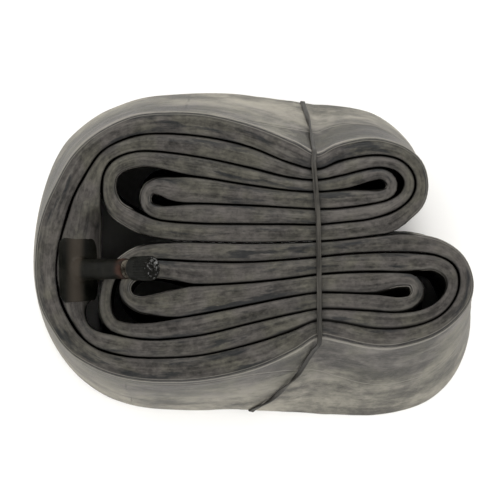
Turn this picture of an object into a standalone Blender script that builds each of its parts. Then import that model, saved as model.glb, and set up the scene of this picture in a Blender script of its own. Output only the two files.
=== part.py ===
"""A folded bicycle inner tube with a rubber-covered valve, tied round its waist with a rubber band.

The tube is pressed flat, folded in twelve layers and stood on its outer edge, so its inner edge
and the valve face up. All sizes are in millimetres; a mesh is scaled to metres when it is made.
"""
import math

import bmesh
import bpy
import numpy as np
from mathutils import Matrix, Vector

MM = 0.001

# ---- tube -------------------------------------------------------------------------------------
FLAT_WIDTH = 56.0  # of the tube pressed flat, from its inner edge to its outer edge
WALL = 1.7
LEAST_SLIT = 0.15  # half of the least space between the two walls
LAYER_GAP = 0.8  # between one layer and the next
BESIDE = 3.5  # a neighbour counts when it lies within this length along the layer
OWN_LENGTH = 8.0  # a layer's own points within this length along it are not neighbours
MOST_OUTER_EDGE = 10.0  # the outer edge is never thicker than this
MOST_STRETCH = 1.6  # nor more than this many times as thick as the inner edge

# Corner points of the flattened section: how far from the middle, in half thicknesses, and how
# far from the edge, in mm.
INNER_EDGE = ((0.45, 0.0), (0.82, 0.6), (1.0, 2.4))
OUTER_EDGE = ((0.5, 0.0), (1.0, 2.0))
CAVITY_INNER_EDGE = ((0.4, 1.8), (1.0, 3.8))
CAVITY_OUTER_EDGE = ((0.7, 2.2),)

# The frame's origin, seen from the middle of the fold's drawing.
ORIGIN_X = -2.0
ORIGIN_Y = -1.3

# The inner edge's folds. FOLD_LINES has one row for each line between two layers, from the far
# side of the bundle (+Y) to the near side, with its y at each x of FOLD_X.
FOLD_X = (-23.1, -2.1, 14.7, 26.5, 35.7)
FOLD_LINES = (
    (57.1, 52.1, 45.3, 39.9, 44.1),
    (47.7, 43.1, 36.3, 33.6, 37.2),
    (38.9, 34.4, 30.2, 29.2, 30.9),
    (30.5, 27.1, 24.8, 24.2, 25.0),
    (19.4, 18.6, 17.6, 17.0, 17.4),
    (11.1, 10.8, 10.7, 10.5, 11.4),
    (3.4, 2.9, 3.2, 3.6, 4.2),
    (-4.8, -5.0, -3.9, -2.9, -1.9),
    (-14.6, -13.5, -11.7, -10.1, -9.4),
    (-26.9, -22.8, -19.4, -17.6, -17.6),
    (-35.7, -30.7, -26.7, -24.4, -24.4),
    (-44.1, -39.3, -33.9, -29.2, -30.0),
    (-54.3, -49.8, -42.4, -35.7, -37.0),
)

# Once round the tube: each layer, counted from +Y, and the turn that follows it. A turn's points
# are x, y and thickness on the middle of the inner edge. Layers run to +X and back in turn.
ROUND = (
    (1, ((48.3, 43.1, 7.0), (56.7, 42.3, 6.1), (63.4, 39.7, 5.5), (68.3, 34.9, 5.4),
         (70.2, 27.3, 5.2), (68.3, 20.4, 6.0), (63.0, 15.3, 6.5), (56.7, 11.3, 8.0),
         (48.3, 9.2, 7.1))),
    (6, ((-44.1, 9.7, 7.6), (-53.1, 13.7, 7.2), (-58.2, 17.2, 6.6), (-60.9, 22.1, 5.9),
         (-61.5, 26.3, 5.5), (-60.7, 31.5, 5.7), (-57.1, 35.5, 6.0), (-50.0, 38.0, 6.4),
         (-44.1, 38.2, 6.6))),
    (3, ((48.3, 31.4, 5.2), (53.3, 32.0, 4.8), (56.7, 29.9, 4.6), (57.8, 26.7, 4.6),
         (56.5, 24.0, 4.6), (51.7, 22.3, 4.8), (48.3, 22.0, 5.9))),
    (4, ((-33.6, 25.5, 10.1), (-39.9, 26.6, 7.5), (-44.3, 25.6, 5.2), (-46.1, 21.4, 4.4),
         (-44.8, 17.7, 4.9), (-39.9, 15.4, 6.1), (-33.6, 15.1, 7.2))),
    (5, ((48.3, 16.0, 6.1), (57.1, 18.3, 5.4), (62.8, 22.1, 4.9), (65.2, 27.3, 4.8),
         (64.1, 31.6, 4.7), (60.1, 35.5, 4.8), (54.6, 37.0, 5.1), (48.3, 36.8, 5.5))),
    (2, ((-44.1, 45.1, 7.3), (-54.4, 43.5, 6.0), (-62.6, 39.3, 5.4), (-66.5, 33.4, 6.3),
         (-68.9, 26.7, 9.3), (-71.0, 19.7, 12.2), (-73.3, 8.4, 14.7), (-74.3, 0.0, 16.5),
         (-74.8, -8.4, 17.0), (-75.2, -16.8, 14.7), (-76.2, -22.3, 10.0), (-75.2, -28.1, 6.3),
         (-72.2, -33.4, 5.3), (-65.9, -37.8, 7.3), (-56.7, -39.9, 8.2), (-44.1, -41.4, 7.6))),
    (11, ((48.3, -28.8, 7.1), (58.8, -29.3, 6.8), (69.3, -28.1, 5.9), (77.1, -24.6, 5.6),
          (81.8, -19.4, 5.0), (83.4, -14.3, 5.0), (81.9, -8.9, 5.6), (76.0, -5.3, 5.9),
          (69.3, -4.8, 7.1), (60.9, -5.0, 8.1), (48.3, -5.0, 7.8))),
    (8, ((-35.7, -8.1, 7.8), (-44.1, -7.6, 7.3), (-50.2, -9.2, 5.9), (-54.2, -13.2, 4.8),
         (-54.8, -17.2, 4.7), (-52.7, -20.6, 4.7), (-48.3, -22.7, 6.3), (-44.1, -23.0, 7.7),
         (-35.7, -22.6, 11.0))),
    (9, ((48.3, -13.5, 9.1), (54.6, -12.5, 7.3), (60.9, -12.0, 5.5), (66.6, -12.9, 4.9),
         (68.5, -16.8, 5.0), (66.8, -20.6, 4.9), (61.3, -22.6, 6.1), (54.6, -22.3, 6.7),
         (48.3, -21.6, 7.1))),
    (10, ((-35.7, -33.2, 7.8), (-44.1, -34.0, 7.1), (-54.6, -33.3, 5.9), (-60.3, -30.7, 5.1),
          (-63.0, -24.8, 5.0), (-62.5, -16.8, 4.7), (-60.3, -10.5, 4.8), (-55.7, -5.5, 5.0),
          (-50.0, -2.2, 5.8), (-44.1, -0.8, 6.3), (-35.7, -0.6, 7.2))),
    (7, ((48.3, 2.3, 6.8), (60.9, 2.9, 7.6), (69.3, 2.5, 7.4), (77.9, 0.7, 6.5),
         (85.0, -3.4, 5.2), (88.1, -8.4, 5.0), (88.9, -14.3, 5.9), (87.4, -20.4, 6.1),
         (82.4, -27.3, 5.4), (75.0, -32.3, 6.0), (65.1, -35.5, 6.7), (56.7, -36.6, 7.6),
         (48.3, -36.1, 7.6))),
    (12, ((-44.1, -50.0, 9.6), (-56.7, -48.5, 8.7), (-67.2, -44.9, 8.0), (-76.0, -39.1, 7.9),
          (-81.9, -30.9, 8.1), (-86.1, -21.8, 8.8), (-87.8, -12.6, 8.8), (-87.8, -4.2, 9.0),
          (-86.8, 4.2, 9.6), (-84.2, 14.5, 9.8), (-80.0, 25.0, 8.9), (-73.7, 36.3, 8.8),
          (-67.4, 43.7, 7.4), (-58.6, 49.1, 7.6), (-50.4, 52.1, 8.2), (-44.1, 53.0, 8.6))),
)

OUTSIDE_TURNS = (1, 7, 12)  # the turns after these layers lie on the outside of the bundle

# The outer edge is longer than the inner one, so the folds spread towards the floor: the outer
# edge's x and y are the inner edge's, times these factors. The y factor changes along x.
SPREAD_X = (1.10, -0.00033)  # factor at x = 0, and its change for each mm of x
SPREAD_AT_X = (-92.0, -79.0, -65.0, -44.0, -23.0, -2.0, 10.5, 26.0, 36.0, 48.0, 61.0, 75.0, 92.0)
SPREAD_FAR = (1.40, 1.35, 1.26, 1.26, 1.31, 1.43, 1.55, 1.79, 1.61, 1.40, 1.30, 1.22, 1.22)
SPREAD_NEAR = (1.32, 1.32, 1.37, 1.39, 1.43, 1.56, 1.78, 2.28, 2.24, 2.03, 1.97, 2.03, 2.03)
SPREAD_BLEND = 25.0  # either side of y = 0, over which the far factor turns into the near one
SPREAD_LEAN = (1.0e-5, 1.7e-5)  # change of the x factor with x times y, at -X and at +X
FINE_STEP = 0.5  # between the fine points of the edges' routes
OUTER_SMOOTH = 9  # fine points either side over which the outer edge's route is averaged
OUTSIDE_SMOOTH = 32  # and on the outside of the bundle

# Rings of the tube's mesh: a new one after this much length or turning.
LONGEST_STEP = 9.0
MOST_TURN = math.radians(17.0)
SHARP_ANGLE = math.radians(35.0)  # edges that turn more than this are drawn sharp
GROOVE_STEP = 3.2
LEAST_STEP = 1.5  # beside the valve hole and at the route's start

# ---- valve ------------------------------------------------------------------------------------
VALVE_X, VALVE_Y = -74.8, -8.4  # the boot's middle, on the second wrap at the -X end
VALVE_DIP = 4.0  # the tube's inner edge lies this much lower under the boot
VALVE_ROLL = math.radians(30.0)  # and is rolled this much towards +X
VALVE_FLAT = 19.0  # length each way along the tube that is rolled all the way
VALVE_FADE = 12.0  # length over which the roll and the dip fade out
STEM_RISE = math.radians(38.0)  # of the stem above the floor
STEM_YAW = math.radians(2.0)
HOLE_STEPS = (-2.2, 0.0, 2.2)  # the valve hole's corners along the tube
HOLE_WIDTHS = (1.9, 2.7, 1.9)  # and its half widths there
BOOT_GAP = 0.65  # between the boot and the tube
BOOT_SQUARE = 6.5  # the boot's section is square to the stem from this far along it
THREAD_PITCH = 0.794
THREAD_DEPTH = 0.40

# Distances along the stem from the middle of the boot's underside.
BOOT_END = 28.3
STEM_FOOT = 3.4
STEM_TIP = 39.3
CAP_MOUTH = 32.1
CAP_END = 42.3
CAP_RADIUS = 5.0
CAP_BORE = 4.25
CAP_RIBS = 28
RIB_DEPTH = 0.28
STEM_THREAD_RADIUS = 3.85
STEM_ROWS = 3  # rings of its mesh for each pitch
SKIRT = 4.3  # the cap's plain part

# Outlines of the turned parts: radius and distance along the stem. The boot's have the distance
# first, then the half length along the tube and the half width.
BOOT_OUTSIDE = ((0.0, 13.0, 8.0), (1.1, 13.0, 8.0), (1.9, 11.8, 7.4), (2.8, 8.6, 6.4),
                (4.0, 6.2, 5.7), (5.5, 5.1, 5.0), (7.5, 4.5, 4.5), (10.0, 4.3, 4.3),
                (BOOT_END - 0.3, 4.15, 4.15), (BOOT_END, 3.9, 3.9))
BOOT_BORE = ((3.4, BOOT_END), (3.4, 4.7), (4.0, 4.7), (4.0, 3.1), (2.4, 3.1))
BOOT_HOLE = (0.0, 2.4, 2.4)
STEM_LOW = ((3.7, STEM_FOOT), (3.7, 4.4), (3.1, 4.4), (3.1, BOOT_END + 0.5))
STEM_THREAD = (BOOT_END + 0.8, STEM_TIP - 0.6)  # where the thread starts and ends
STEM_BORE = ((3.3, STEM_TIP), (2.45, STEM_TIP), (2.45, 31.0), (2.1, 29.9), (2.1, 18.0),
             (1.6, 17.5), (1.6, STEM_FOOT))
CORE_PLUG = ((2.15, 31.6), (2.15, 35.4), (1.6, 35.6), (1.6, 37.6), (0.85, 37.6), (0.85, 31.6))
CORE_SEAL = ((1.8, 29.6), (2.1, 31.2), (1.65, 31.2), (1.65, 29.6))
CORE_BARREL = ((1.8, 22.0), (1.8, 29.2), (1.3, 29.2), (1.3, 31.2), (0.85, 31.2), (0.85, 28.8),
               (1.5, 28.8), (1.5, 22.6), (0.85, 22.6), (0.85, 22.0))
CORE_PIN = ((0.9, 19.3), (0.9, 19.9), (0.5, 19.9), (0.5, 27.9), (1.15, 27.9), (1.15, 28.4),
            (0.5, 28.4), (0.5, 38.6))
CORE_CUP = ((1.75, 20.2), (1.75, 21.6), (1.5, 21.6), (1.5, 20.9), (0.8, 20.9), (0.8, 20.2))
CUP_GASKET = ((1.2, 21.2), (1.2, 21.7), (0.8, 21.7), (0.8, 21.2))
CAP_GASKET = ((3.9, STEM_TIP + 0.35), (3.9, CAP_END - 2.0), (1.0, CAP_END - 2.0),
              (1.0, STEM_TIP + 0.35))
CAP_DISH = CAP_END - 0.8
CAP_CEILING = CAP_END - 1.7
CAP_LOW = ((4.7, CAP_MOUTH), (4.9, CAP_MOUTH + 0.3), (4.9, CAP_MOUTH + SKIRT))
CAP_TOP = ((4.6, CAP_END), (3.7, CAP_END), (3.5, CAP_DISH))

SPRING_ENDS = (23.05, 27.45)
SPRING_TURNS = 6
SPRING_STEPS = 14  # of its mesh for each turn
SPRING_RADIUS = 1.05
WIRE_RADIUS = 0.14
WIRE_SIDES = 6

# ---- rubber band ------------------------------------------------------------------------------
BAND_WIDTH = 2.0
BAND_THICK = 0.9
BAND_GAP = 0.4  # between the band and the tube
BAND_LIFT = 1.5  # more of it down the walls, which are hollow between their rings
BAND_FLOOR_GAP = 0.2
GROOVE_DEPTH = 1.8  # in the tube's outer edge, where the band runs under it
GROOVE_FLAT = 3.0  # half of the groove's flat part
GROOVE_HALF = 7.0  # half of the groove
BAND_TOP_X = ((40.7, 24.4), (14.7, 26.5), (-33.6, 27.3))  # y and x along the inner edges
BAND_FAR_FOOT_X = 20.5  # x on the inner edge whose outer edge the band passes under, at +Y
BAND_NEAR_FOOT_X = -2.2  # and at -Y
BAND_SHARES = (0.05, 0.2, 0.4, 0.6, 0.8, 0.95)  # the band's points down a wall
BAND_SIDE = 0.75  # how far the band's direction at a wall's ends points sideways
BAND_UP = 0.66  # and up or down
BAND_INWARD = 1.6  # how far under the bundle its first point on the floor lies
BAND_OVER = 9.0  # the band clears every part of the tube within this distance
WAIST_X = 26.0
OUTSIDE_LEAST_Y = 34.0  # the outside layers lie further out than this,
OUTSIDE_MOST_X = 56.0  # within this of the middle,
OUTSIDE_DEPTH = 7.0  # and this near the fold's outline


def clear_scene():
    for item in list(bpy.data.objects):
        bpy.data.objects.remove(item, do_unlink=True)


def material(name, colour, roughness, metallic=0.0):
    made = bpy.data.materials.new(name)
    made.use_nodes = True
    shader = made.node_tree.nodes["Principled BSDF"]
    shader.inputs["Base Color"].default_value = (*colour, 1.0)
    shader.inputs["Roughness"].default_value = roughness
    shader.inputs["Metallic"].default_value = metallic
    made.diffuse_color = (*colour, 1.0)
    return made


def add_object(name, points, faces, look, place=None):
    """One named object from points in millimetres. Its origin goes to place, a matrix in metres."""
    mesh = bpy.data.meshes.new(name)
    mesh.from_pydata([Vector(p) * MM for p in points], [], faces)
    mesh.update()
    made = bmesh.new()
    made.from_mesh(mesh)
    bmesh.ops.recalc_face_normals(made, faces=made.faces)
    made.to_mesh(mesh)
    made.free()
    mesh.materials.append(look)
    mesh.shade_smooth()
    mesh.set_sharp_from_angle(angle=SHARP_ANGLE)
    item = bpy.data.objects.new(name, mesh)
    bpy.context.collection.objects.link(item)
    if place is not None:
        item.matrix_world = place
    return item


# ---- the fold ---------------------------------------------------------------------------------
def layer_points(layer, rightwards):
    """The middle and thickness of one straight layer, from the lines on its two sides."""
    upper = FOLD_LINES[layer - 1]
    lower = FOLD_LINES[layer]
    outside = 1.0 if layer in (1, len(ROUND)) else 0.0
    points = [(x, (a + b) / 2, a - b, outside) for x, a, b in zip(FOLD_X, upper, lower)]
    return points if rightwards else points[::-1]


def fold_route():
    """The inner edge's control points, once round: x, y, thickness, and one on the outside."""
    route = []
    for number, (layer, turn) in enumerate(ROUND):
        outside = 1.0 if layer in OUTSIDE_TURNS else 0.0
        route += layer_points(layer, number % 2 == 0)
        route += [(*point, outside) for point in turn]
    return np.array(route)


def closed_spline(rows, step):
    """A centripetal Catmull-Rom curve through the rows, closed, with a point about every step."""
    curve = []
    count = len(rows)
    for i in range(count):
        p = [rows[(i + k) % count] for k in (-1, 0, 1, 2)]
        t = [0.0]
        for a, b in zip(p, p[1:]):
            t.append(t[-1] + math.hypot(*(b - a)[:2]) ** 0.5)
        pieces = max(2, round(math.hypot(*(p[2] - p[1])[:2]) / step))
        for k in range(pieces):
            u = t[1] + (t[2] - t[1]) * k / pieces
            a1 = p[0] + (p[1] - p[0]) * (u - t[0]) / (t[1] - t[0])
            a2 = p[1] + (p[2] - p[1]) * (u - t[1]) / (t[2] - t[1])
            a3 = p[2] + (p[3] - p[2]) * (u - t[2]) / (t[3] - t[2])
            b1 = a1 + (a2 - a1) * (u - t[0]) / (t[2] - t[0])
            b2 = a2 + (a3 - a2) * (u - t[1]) / (t[3] - t[1])
            curve.append(b1 + (b2 - b1) * (u - t[1]) / (t[2] - t[1]))
    return np.array(curve)


def smooth_step(value):
    value = np.clip(value, 0.0, 1.0)
    return value * value * (3.0 - 2.0 * value)


def spread(points):
    """Where the outer edge lies for points on the inner edge."""
    x, y = points[:, 0], points[:, 1]
    blend = smooth_step((y + SPREAD_BLEND) / (2 * SPREAD_BLEND))
    far = np.interp(x, SPREAD_AT_X, SPREAD_FAR)
    near = np.interp(x, SPREAD_AT_X, SPREAD_NEAR)
    lean = np.where(x > 0, SPREAD_LEAN[1] * x * np.minimum(y, 0.0), SPREAD_LEAN[0] * x * y)
    wide = x * (SPREAD_X[0] + SPREAD_X[1] * x - lean)
    return np.column_stack([wide, y * (near + (far - near) * blend)])


def loop_smooth(values, reach):
    """Running means along a closed row of values."""
    window = np.ones(2 * reach + 1) / (2 * reach + 1)
    padded = np.concatenate([values[-reach:], values, values[:reach]])
    return np.convolve(padded, window, "valid")


def smooth_route(points, outside):
    """The outer edge's route without kinks, smoothed over a longer way on the outside."""
    share = smooth_step(loop_smooth(outside, OUTSIDE_SMOOTH))
    columns = []
    for column in points.T:
        tight = loop_smooth(column, OUTER_SMOOTH)
        wide = loop_smooth(column, OUTSIDE_SMOOTH)
        wide = 2 * wide - loop_smooth(wide, OUTSIDE_SMOOTH)  # gives back what averaging shrinks
        columns.append(tight + (wide - tight) * share)
    return np.column_stack(columns)


def edge_normals(points):
    """The unit normal to the left of a closed route, at each of its points."""
    ahead = np.roll(points, -1, axis=0) - np.roll(points, 1, axis=0)
    ahead /= np.linalg.norm(ahead, axis=1)[:, None]
    return np.column_stack([-ahead[:, 1], ahead[:, 0]])


def band_foot_line():
    """Where the band touches the outer edges: two points on the floor."""
    far_y = np.interp(BAND_FAR_FOOT_X, FOLD_X, FOLD_LINES[0])
    near_y = np.interp(BAND_NEAR_FOOT_X, FOLD_X, FOLD_LINES[-1])
    return spread(np.array([[BAND_FAR_FOOT_X, far_y], [BAND_NEAR_FOOT_X, near_y]]))


def groove_height(feet):
    """How high the outer edge is lifted off the floor to let the band pass under it."""
    start, end = band_foot_line()
    along = (end - start) / np.linalg.norm(end - start)
    offset = feet - start
    distance = np.abs(offset[:, 0] * along[1] - offset[:, 1] * along[0])
    return GROOVE_DEPTH * smooth_step((GROOVE_HALF - distance) / (GROOVE_HALF - GROOVE_FLAT))


def arc_lengths(points):
    steps = np.linalg.norm(np.roll(points, -1, axis=0) - points, axis=1)
    return np.concatenate([[0.0], np.cumsum(steps)[:-1]]), steps.sum()


def pick_stations(fine):
    """Indices of the fine route's points where the mesh gets a ring, and the valve's index."""
    inner = fine[:, :2]
    length, total = arc_lengths(inner)
    ahead = np.roll(inner, -1, axis=0) - inner
    heading = np.unwrap(np.arctan2(ahead[:, 1], ahead[:, 0]))
    lifted = groove_height(spread(inner)) > 0
    valve = int(np.argmin(np.hypot(inner[:, 0] - VALVE_X, inner[:, 1] - VALVE_Y)))
    corners = [int(np.argmin(np.abs(length - length[valve] - step))) for step in HOLE_STEPS]
    picked = [0]
    for i in range(1, len(fine)):
        gone = length[i] - length[picked[-1]]
        turned = abs(heading[i] - heading[picked[-1]])
        longest = GROOVE_STEP if lifted[i] else LONGEST_STEP
        near_hole = any(i != c and abs(length[i] - length[c]) < LEAST_STEP for c in corners)
        if i in corners:
            picked.append(i)
        elif not near_hole and (gone >= longest or turned >= MOST_TURN):
            picked.append(i)
    if total - length[picked[-1]] < LEAST_STEP:
        picked.pop()
    return picked, valve


def half_thicknesses(points, normals, thickness, side):
    """How far a layer reaches on one side: half its thickness, or less beside a neighbour.

    Two neighbours share the space between their middles in proportion to their thicknesses.
    """
    length, total = arc_lengths(points)
    reach = thickness / 2
    for i, point in enumerate(points):
        offset = points - point
        away = offset @ (side * normals[i])
        beside = np.abs(offset[:, 0] * normals[i][1] - offset[:, 1] * normals[i][0])
        apart = np.abs(length - length[i])
        apart = np.minimum(apart, total - apart)
        near = (away > 0) & (beside < BESIDE) & (apart > OWN_LENGTH)
        if near.any():
            other = np.where(near, away, np.inf).argmin()
            share = thickness[i] / (thickness[i] + thickness[other])
            reach[i] = min(reach[i], away[other] * share - LAYER_GAP / 2)
    return reach


def valve_blend(inner, valve_point_index, length, total):
    """One under the boot, fading to zero along the tube."""
    away = np.abs(length - length[valve_point_index])
    away = np.minimum(away, total - away)
    return smooth_step((VALVE_FLAT + VALVE_FADE - away) / VALVE_FADE)


class Fold:
    """The stations round the tube: edge middles, normals, half thicknesses and heights."""

    def __init__(self):
        fine = closed_spline(fold_route(), FINE_STEP)
        picked, valve = pick_stations(fine)
        fine_inner = fine[:, :2]
        fine_outer = smooth_route(spread(fine_inner), np.clip(fine[:, 3], 0.0, 1.0))
        length, total = arc_lengths(fine_inner)
        inner_normals = edge_normals(fine_inner)
        outer_normals = edge_normals(fine_outer)
        stretch = np.linalg.norm(fine_outer - np.roll(fine_outer, 1, axis=0), axis=1)
        stretch = np.clip(stretch / FINE_STEP, 1.0, MOST_STRETCH)
        outer_thickness = np.minimum(fine[:, 2] * stretch, MOST_OUTER_EDGE)
        blend = valve_blend(fine_inner, valve, length, total)
        lean = np.linalg.norm(fine_outer - fine_inner, axis=1)
        height = np.sqrt(FLAT_WIDTH**2 - (0.5 * lean) ** 2)
        height += (FLAT_WIDTH - VALVE_DIP - height) * blend

        self.inner = fine_inner[picked]
        self.outer = fine_outer[picked]
        self.inner_normals = inner_normals[picked]
        self.outer_normals = outer_normals[picked]
        self.inner_half = {}
        self.outer_half = {}
        for side in (1, -1):
            inner_half = half_thicknesses(fine_inner, inner_normals, fine[:, 2], side)
            outer_half = half_thicknesses(fine_outer, outer_normals, outer_thickness, side)
            self.inner_half[side] = inner_half[picked]
            self.outer_half[side] = outer_half[picked]
        self.height = height[picked]
        self.blend = blend[picked]
        self.lift = groove_height(self.outer)
        self.valve = picked.index(valve)

    def point(self, i, side, width, depth, from_outer, cavity):
        """A point of ring i: width in half thicknesses, depth in mm from one of its edges."""
        inner = np.array([*self.inner[i], self.height[i]])
        outer = np.array([*self.outer[i], self.lift[i]])
        share = depth / np.linalg.norm(outer - inner)
        if from_outer:
            share = 1.0 - share
        normal = self.inner_normals[i] * (1.0 - share) + self.outer_normals[i] * share
        normal /= np.linalg.norm(normal)
        half = self.inner_half[side][i] * (1.0 - share) + self.outer_half[side][i] * share
        if cavity:
            half = max(half - WALL, LEAST_SLIT)
        place = inner + (outer - inner) * share
        place[:2] += normal * side * width * half
        if not from_outer:
            place[2] -= (place[0] - VALVE_X) * math.tan(VALVE_ROLL) * self.blend[i]
        return place


def ring_points(fold, i, inner_edge, outer_edge, cavity):
    """One closed ring of points across the tube, from the inner edge's left side round."""
    inner_edge = list(inner_edge)
    if i - fold.valve in (-1, 0, 1):
        half = min(fold.inner_half[1][i], fold.inner_half[-1][i]) - (WALL if cavity else 0.0)
        inner_edge[0] = (HOLE_WIDTHS[i - fold.valve + 1] / half, inner_edge[0][1])
    ring = []
    for side in (1, -1):
        points = [fold.point(i, side, *corner, False, cavity) for corner in inner_edge]
        points += [fold.point(i, side, *corner, True, cavity) for corner in outer_edge][::-1]
        ring += points if side > 0 else points[::-1]
    return ring


def band_faces(first, second, size):
    """Quads between two rings whose points start at first and second."""
    faces = []
    for k in range(size):
        after = (k + 1) % size
        faces.append((first + k, first + after, second + after, second + k))
    return faces


def make_tube(fold, look):
    """The tube: an outer skin and a cavity, joined through the valve hole."""
    outer_size = 2 * len(INNER_EDGE + OUTER_EDGE)
    cavity_size = 2 * len(CAVITY_INNER_EDGE + CAVITY_OUTER_EDGE)
    count = len(fold.inner)
    points = []
    for i in range(count):
        points += ring_points(fold, i, INNER_EDGE, OUTER_EDGE, False)
    base = len(points)
    for i in range(count):
        points += ring_points(fold, i, CAVITY_INNER_EDGE, CAVITY_OUTER_EDGE, True)
    faces = []
    hole_strips = (fold.valve - 1, fold.valve)
    for i in range(count):
        after = (i + 1) % count
        outer = band_faces(i * outer_size, after * outer_size, outer_size)
        cavity = band_faces(base + i * cavity_size, base + after * cavity_size, cavity_size)
        if i in hole_strips:
            outer.pop()
            cavity.pop()
        faces += outer
        faces += [face[::-1] for face in cavity]
    faces += hole_walls(fold, outer_size, base, cavity_size)
    return add_object("tube_body", points, faces, look)


def hole_walls(fold, outer_size, base, cavity_size):
    """The valve hole's sides, from the outer skin to the cavity."""
    rings = [fold.valve - 1, fold.valve, fold.valve + 1]
    left_outer = [r * outer_size for r in rings]
    right_outer = [r * outer_size + outer_size - 1 for r in rings]
    left_inner = [base + r * cavity_size for r in rings]
    right_inner = [base + r * cavity_size + cavity_size - 1 for r in rings]
    outer_loop = left_outer + right_outer[::-1]
    inner_loop = left_inner + right_inner[::-1]
    size = len(outer_loop)
    walls = []
    for k in range(size):
        after = (k + 1) % size
        walls.append((outer_loop[k], outer_loop[after], inner_loop[after], inner_loop[k]))
    return walls


# ---- the valve --------------------------------------------------------------------------------
def stem_direction():
    flat = math.cos(STEM_RISE)
    return Vector((flat * math.cos(STEM_YAW), flat * math.sin(STEM_YAW), math.sin(STEM_RISE)))


def boot_normal():
    return Vector((math.sin(VALVE_ROLL), 0.0, math.cos(VALVE_ROLL)))


def valve_foot(fold):
    """The middle of the boot's underside."""
    surface = Vector((VALVE_X, VALVE_Y, fold.height[fold.valve]))
    return surface + boot_normal() * BOOT_GAP


def stem_frame(fold):
    """The matrix, in metres, that puts local Z along the stem and the origin at its foot."""
    along = stem_direction()
    across = Vector((0.0, 1.0, 0.0)).cross(along).normalized()
    up = along.cross(across)
    turn = Matrix((across, up, along)).transposed()
    return Matrix.Translation(valve_foot(fold) * MM) @ turn.to_4x4()


def loft(name, rings, look, place):
    """A closed body from rings of equal length, the last one joined to the first."""
    size = len(rings[0])
    points = [point for ring in rings for point in ring]
    faces = []
    for i in range(len(rings)):
        faces += band_faces(i * size, (i + 1) % len(rings) * size, size)
    return add_object(name, points, faces, look, place)


def circle(radius, along, sides):
    turns = [2 * math.pi * k / sides for k in range(sides)]
    return [(radius * math.cos(a), radius * math.sin(a), along) for a in turns]


def turned_ring(name, profile, look, place, sides):
    """A turned body with a bore: the profile is a closed outline of (radius, along) pairs."""
    return loft(name, [circle(r, w, sides) for r, w in profile], look, place)


def turned_solid(name, profile, look, place, sides):
    """A turned body with no bore: the profile runs from its low end to its high end."""
    points = [(0.0, 0.0, profile[0][1])]
    for radius, along in profile:
        points += circle(radius, along, sides)
    points.append((0.0, 0.0, profile[-1][1]))
    faces = []
    for i in range(len(profile) - 1):
        faces += band_faces(1 + i * sides, 1 + (i + 1) * sides, sides)
    last = 1 + (len(profile) - 1) * sides
    for k in range(sides):
        after = (k + 1) % sides
        faces.append((0, 1 + after, 1 + k))
        faces.append((len(points) - 1, last + k, last + after))
    return add_object(name, points, faces, look, place)


def boot_ring(height, half_long, half_wide, sides):
    """A ring of the boot in the stem's frame: level with the pad at its foot, square above."""
    tilt = (math.pi / 2 - STEM_RISE - VALVE_ROLL) * (1.0 - float(smooth_step(height / BOOT_SQUARE)))
    ring = []
    for k in range(sides):
        a = 2 * math.pi * k / sides
        wide = half_wide * math.cos(a)
        ring.append((wide * math.cos(tilt), half_long * math.sin(a),
                     height + wide * math.sin(tilt)))
    return ring


def make_boot(look, place):
    """The rubber boot: a pad on the tube and a sleeve over the stem, with a bore through both."""
    sides = 24
    rings = [boot_ring(*row, sides) for row in BOOT_OUTSIDE]
    rings += [circle(r, w, sides) for r, w in BOOT_BORE]
    rings.append(boot_ring(*BOOT_HOLE, sides))
    return loft("valve_boot", rings, look, place)


def threaded_ring(radius, along, sides):
    """A ring of a screw thread: its radius falls and rises once round, and once each pitch."""
    ring = []
    for k in range(sides):
        phase = (along / THREAD_PITCH - k / sides) % 1.0
        r = radius - THREAD_DEPTH * abs(2.0 * phase - 1.0)
        a = 2 * math.pi * k / sides
        ring.append((r * math.cos(a), r * math.sin(a), along))
    return ring


def make_stem(look, place):
    """The brass stem: a flanged foot, a plain barrel in the boot and a threaded tip."""
    sides = 18
    start, end = STEM_THREAD
    rows = round((end - start) / THREAD_PITCH * STEM_ROWS)
    rings = [circle(r, w, sides) for r, w in STEM_LOW]
    for k in range(rows + 1):
        rings.append(threaded_ring(STEM_THREAD_RADIUS, start + (end - start) * k / rows, sides))
    rings += [circle(r, w, sides) for r, w in STEM_BORE]
    return loft("stem_insert", rings, look, place)


def make_core(looks, place):
    """The valve core: a screwed plug, a barrel with its seal, and the sprung pin with its cup."""
    sides = 16
    turned_ring("core_plug", CORE_PLUG, looks["brass"], place, sides)
    turned_ring("core_barrel_seal", CORE_SEAL, looks["seal"], place, sides)
    turned_ring("core_barrel", CORE_BARREL, looks["brass"], place, sides)
    turned_solid("core_pin", CORE_PIN, looks["steel"], place, sides)
    turned_ring("core_cup", CORE_CUP, looks["brass"], place, sides)
    turned_ring("cup_gasket", CUP_GASKET, looks["seal"], place, sides)


def make_spring(look, place):
    """The core's spring: a round wire wound between the barrel's shelf and the pin's collar."""
    start, end = SPRING_ENDS
    count = SPRING_TURNS * SPRING_STEPS
    rise = (end - start) / count
    slope = math.atan2((end - start) / SPRING_TURNS, 2 * math.pi * SPRING_RADIUS)
    rings = []
    for k in range(count + 1):
        a = 2 * math.pi * k / SPRING_STEPS
        out = Vector((math.cos(a), math.sin(a), 0.0))
        side = Vector((math.sin(a) * math.sin(slope), -math.cos(a) * math.sin(slope),
                       math.cos(slope)))
        middle = out * SPRING_RADIUS + Vector((0.0, 0.0, start + rise * k))
        turn = [2 * math.pi * j / WIRE_SIDES for j in range(WIRE_SIDES)]
        rings.append([middle + (out * math.cos(t) + side * math.sin(t)) * WIRE_RADIUS
                      for t in turn])
    points = [point for ring in rings for point in ring]
    faces = []
    for i in range(len(rings) - 1):
        faces += band_faces(i * WIRE_SIDES, (i + 1) * WIRE_SIDES, WIRE_SIDES)
    faces.append(tuple(range(WIRE_SIDES))[::-1])
    faces.append(tuple(len(points) - WIRE_SIDES + j for j in range(WIRE_SIDES)))
    return add_object("core_spring", points, faces, look, place)


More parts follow.
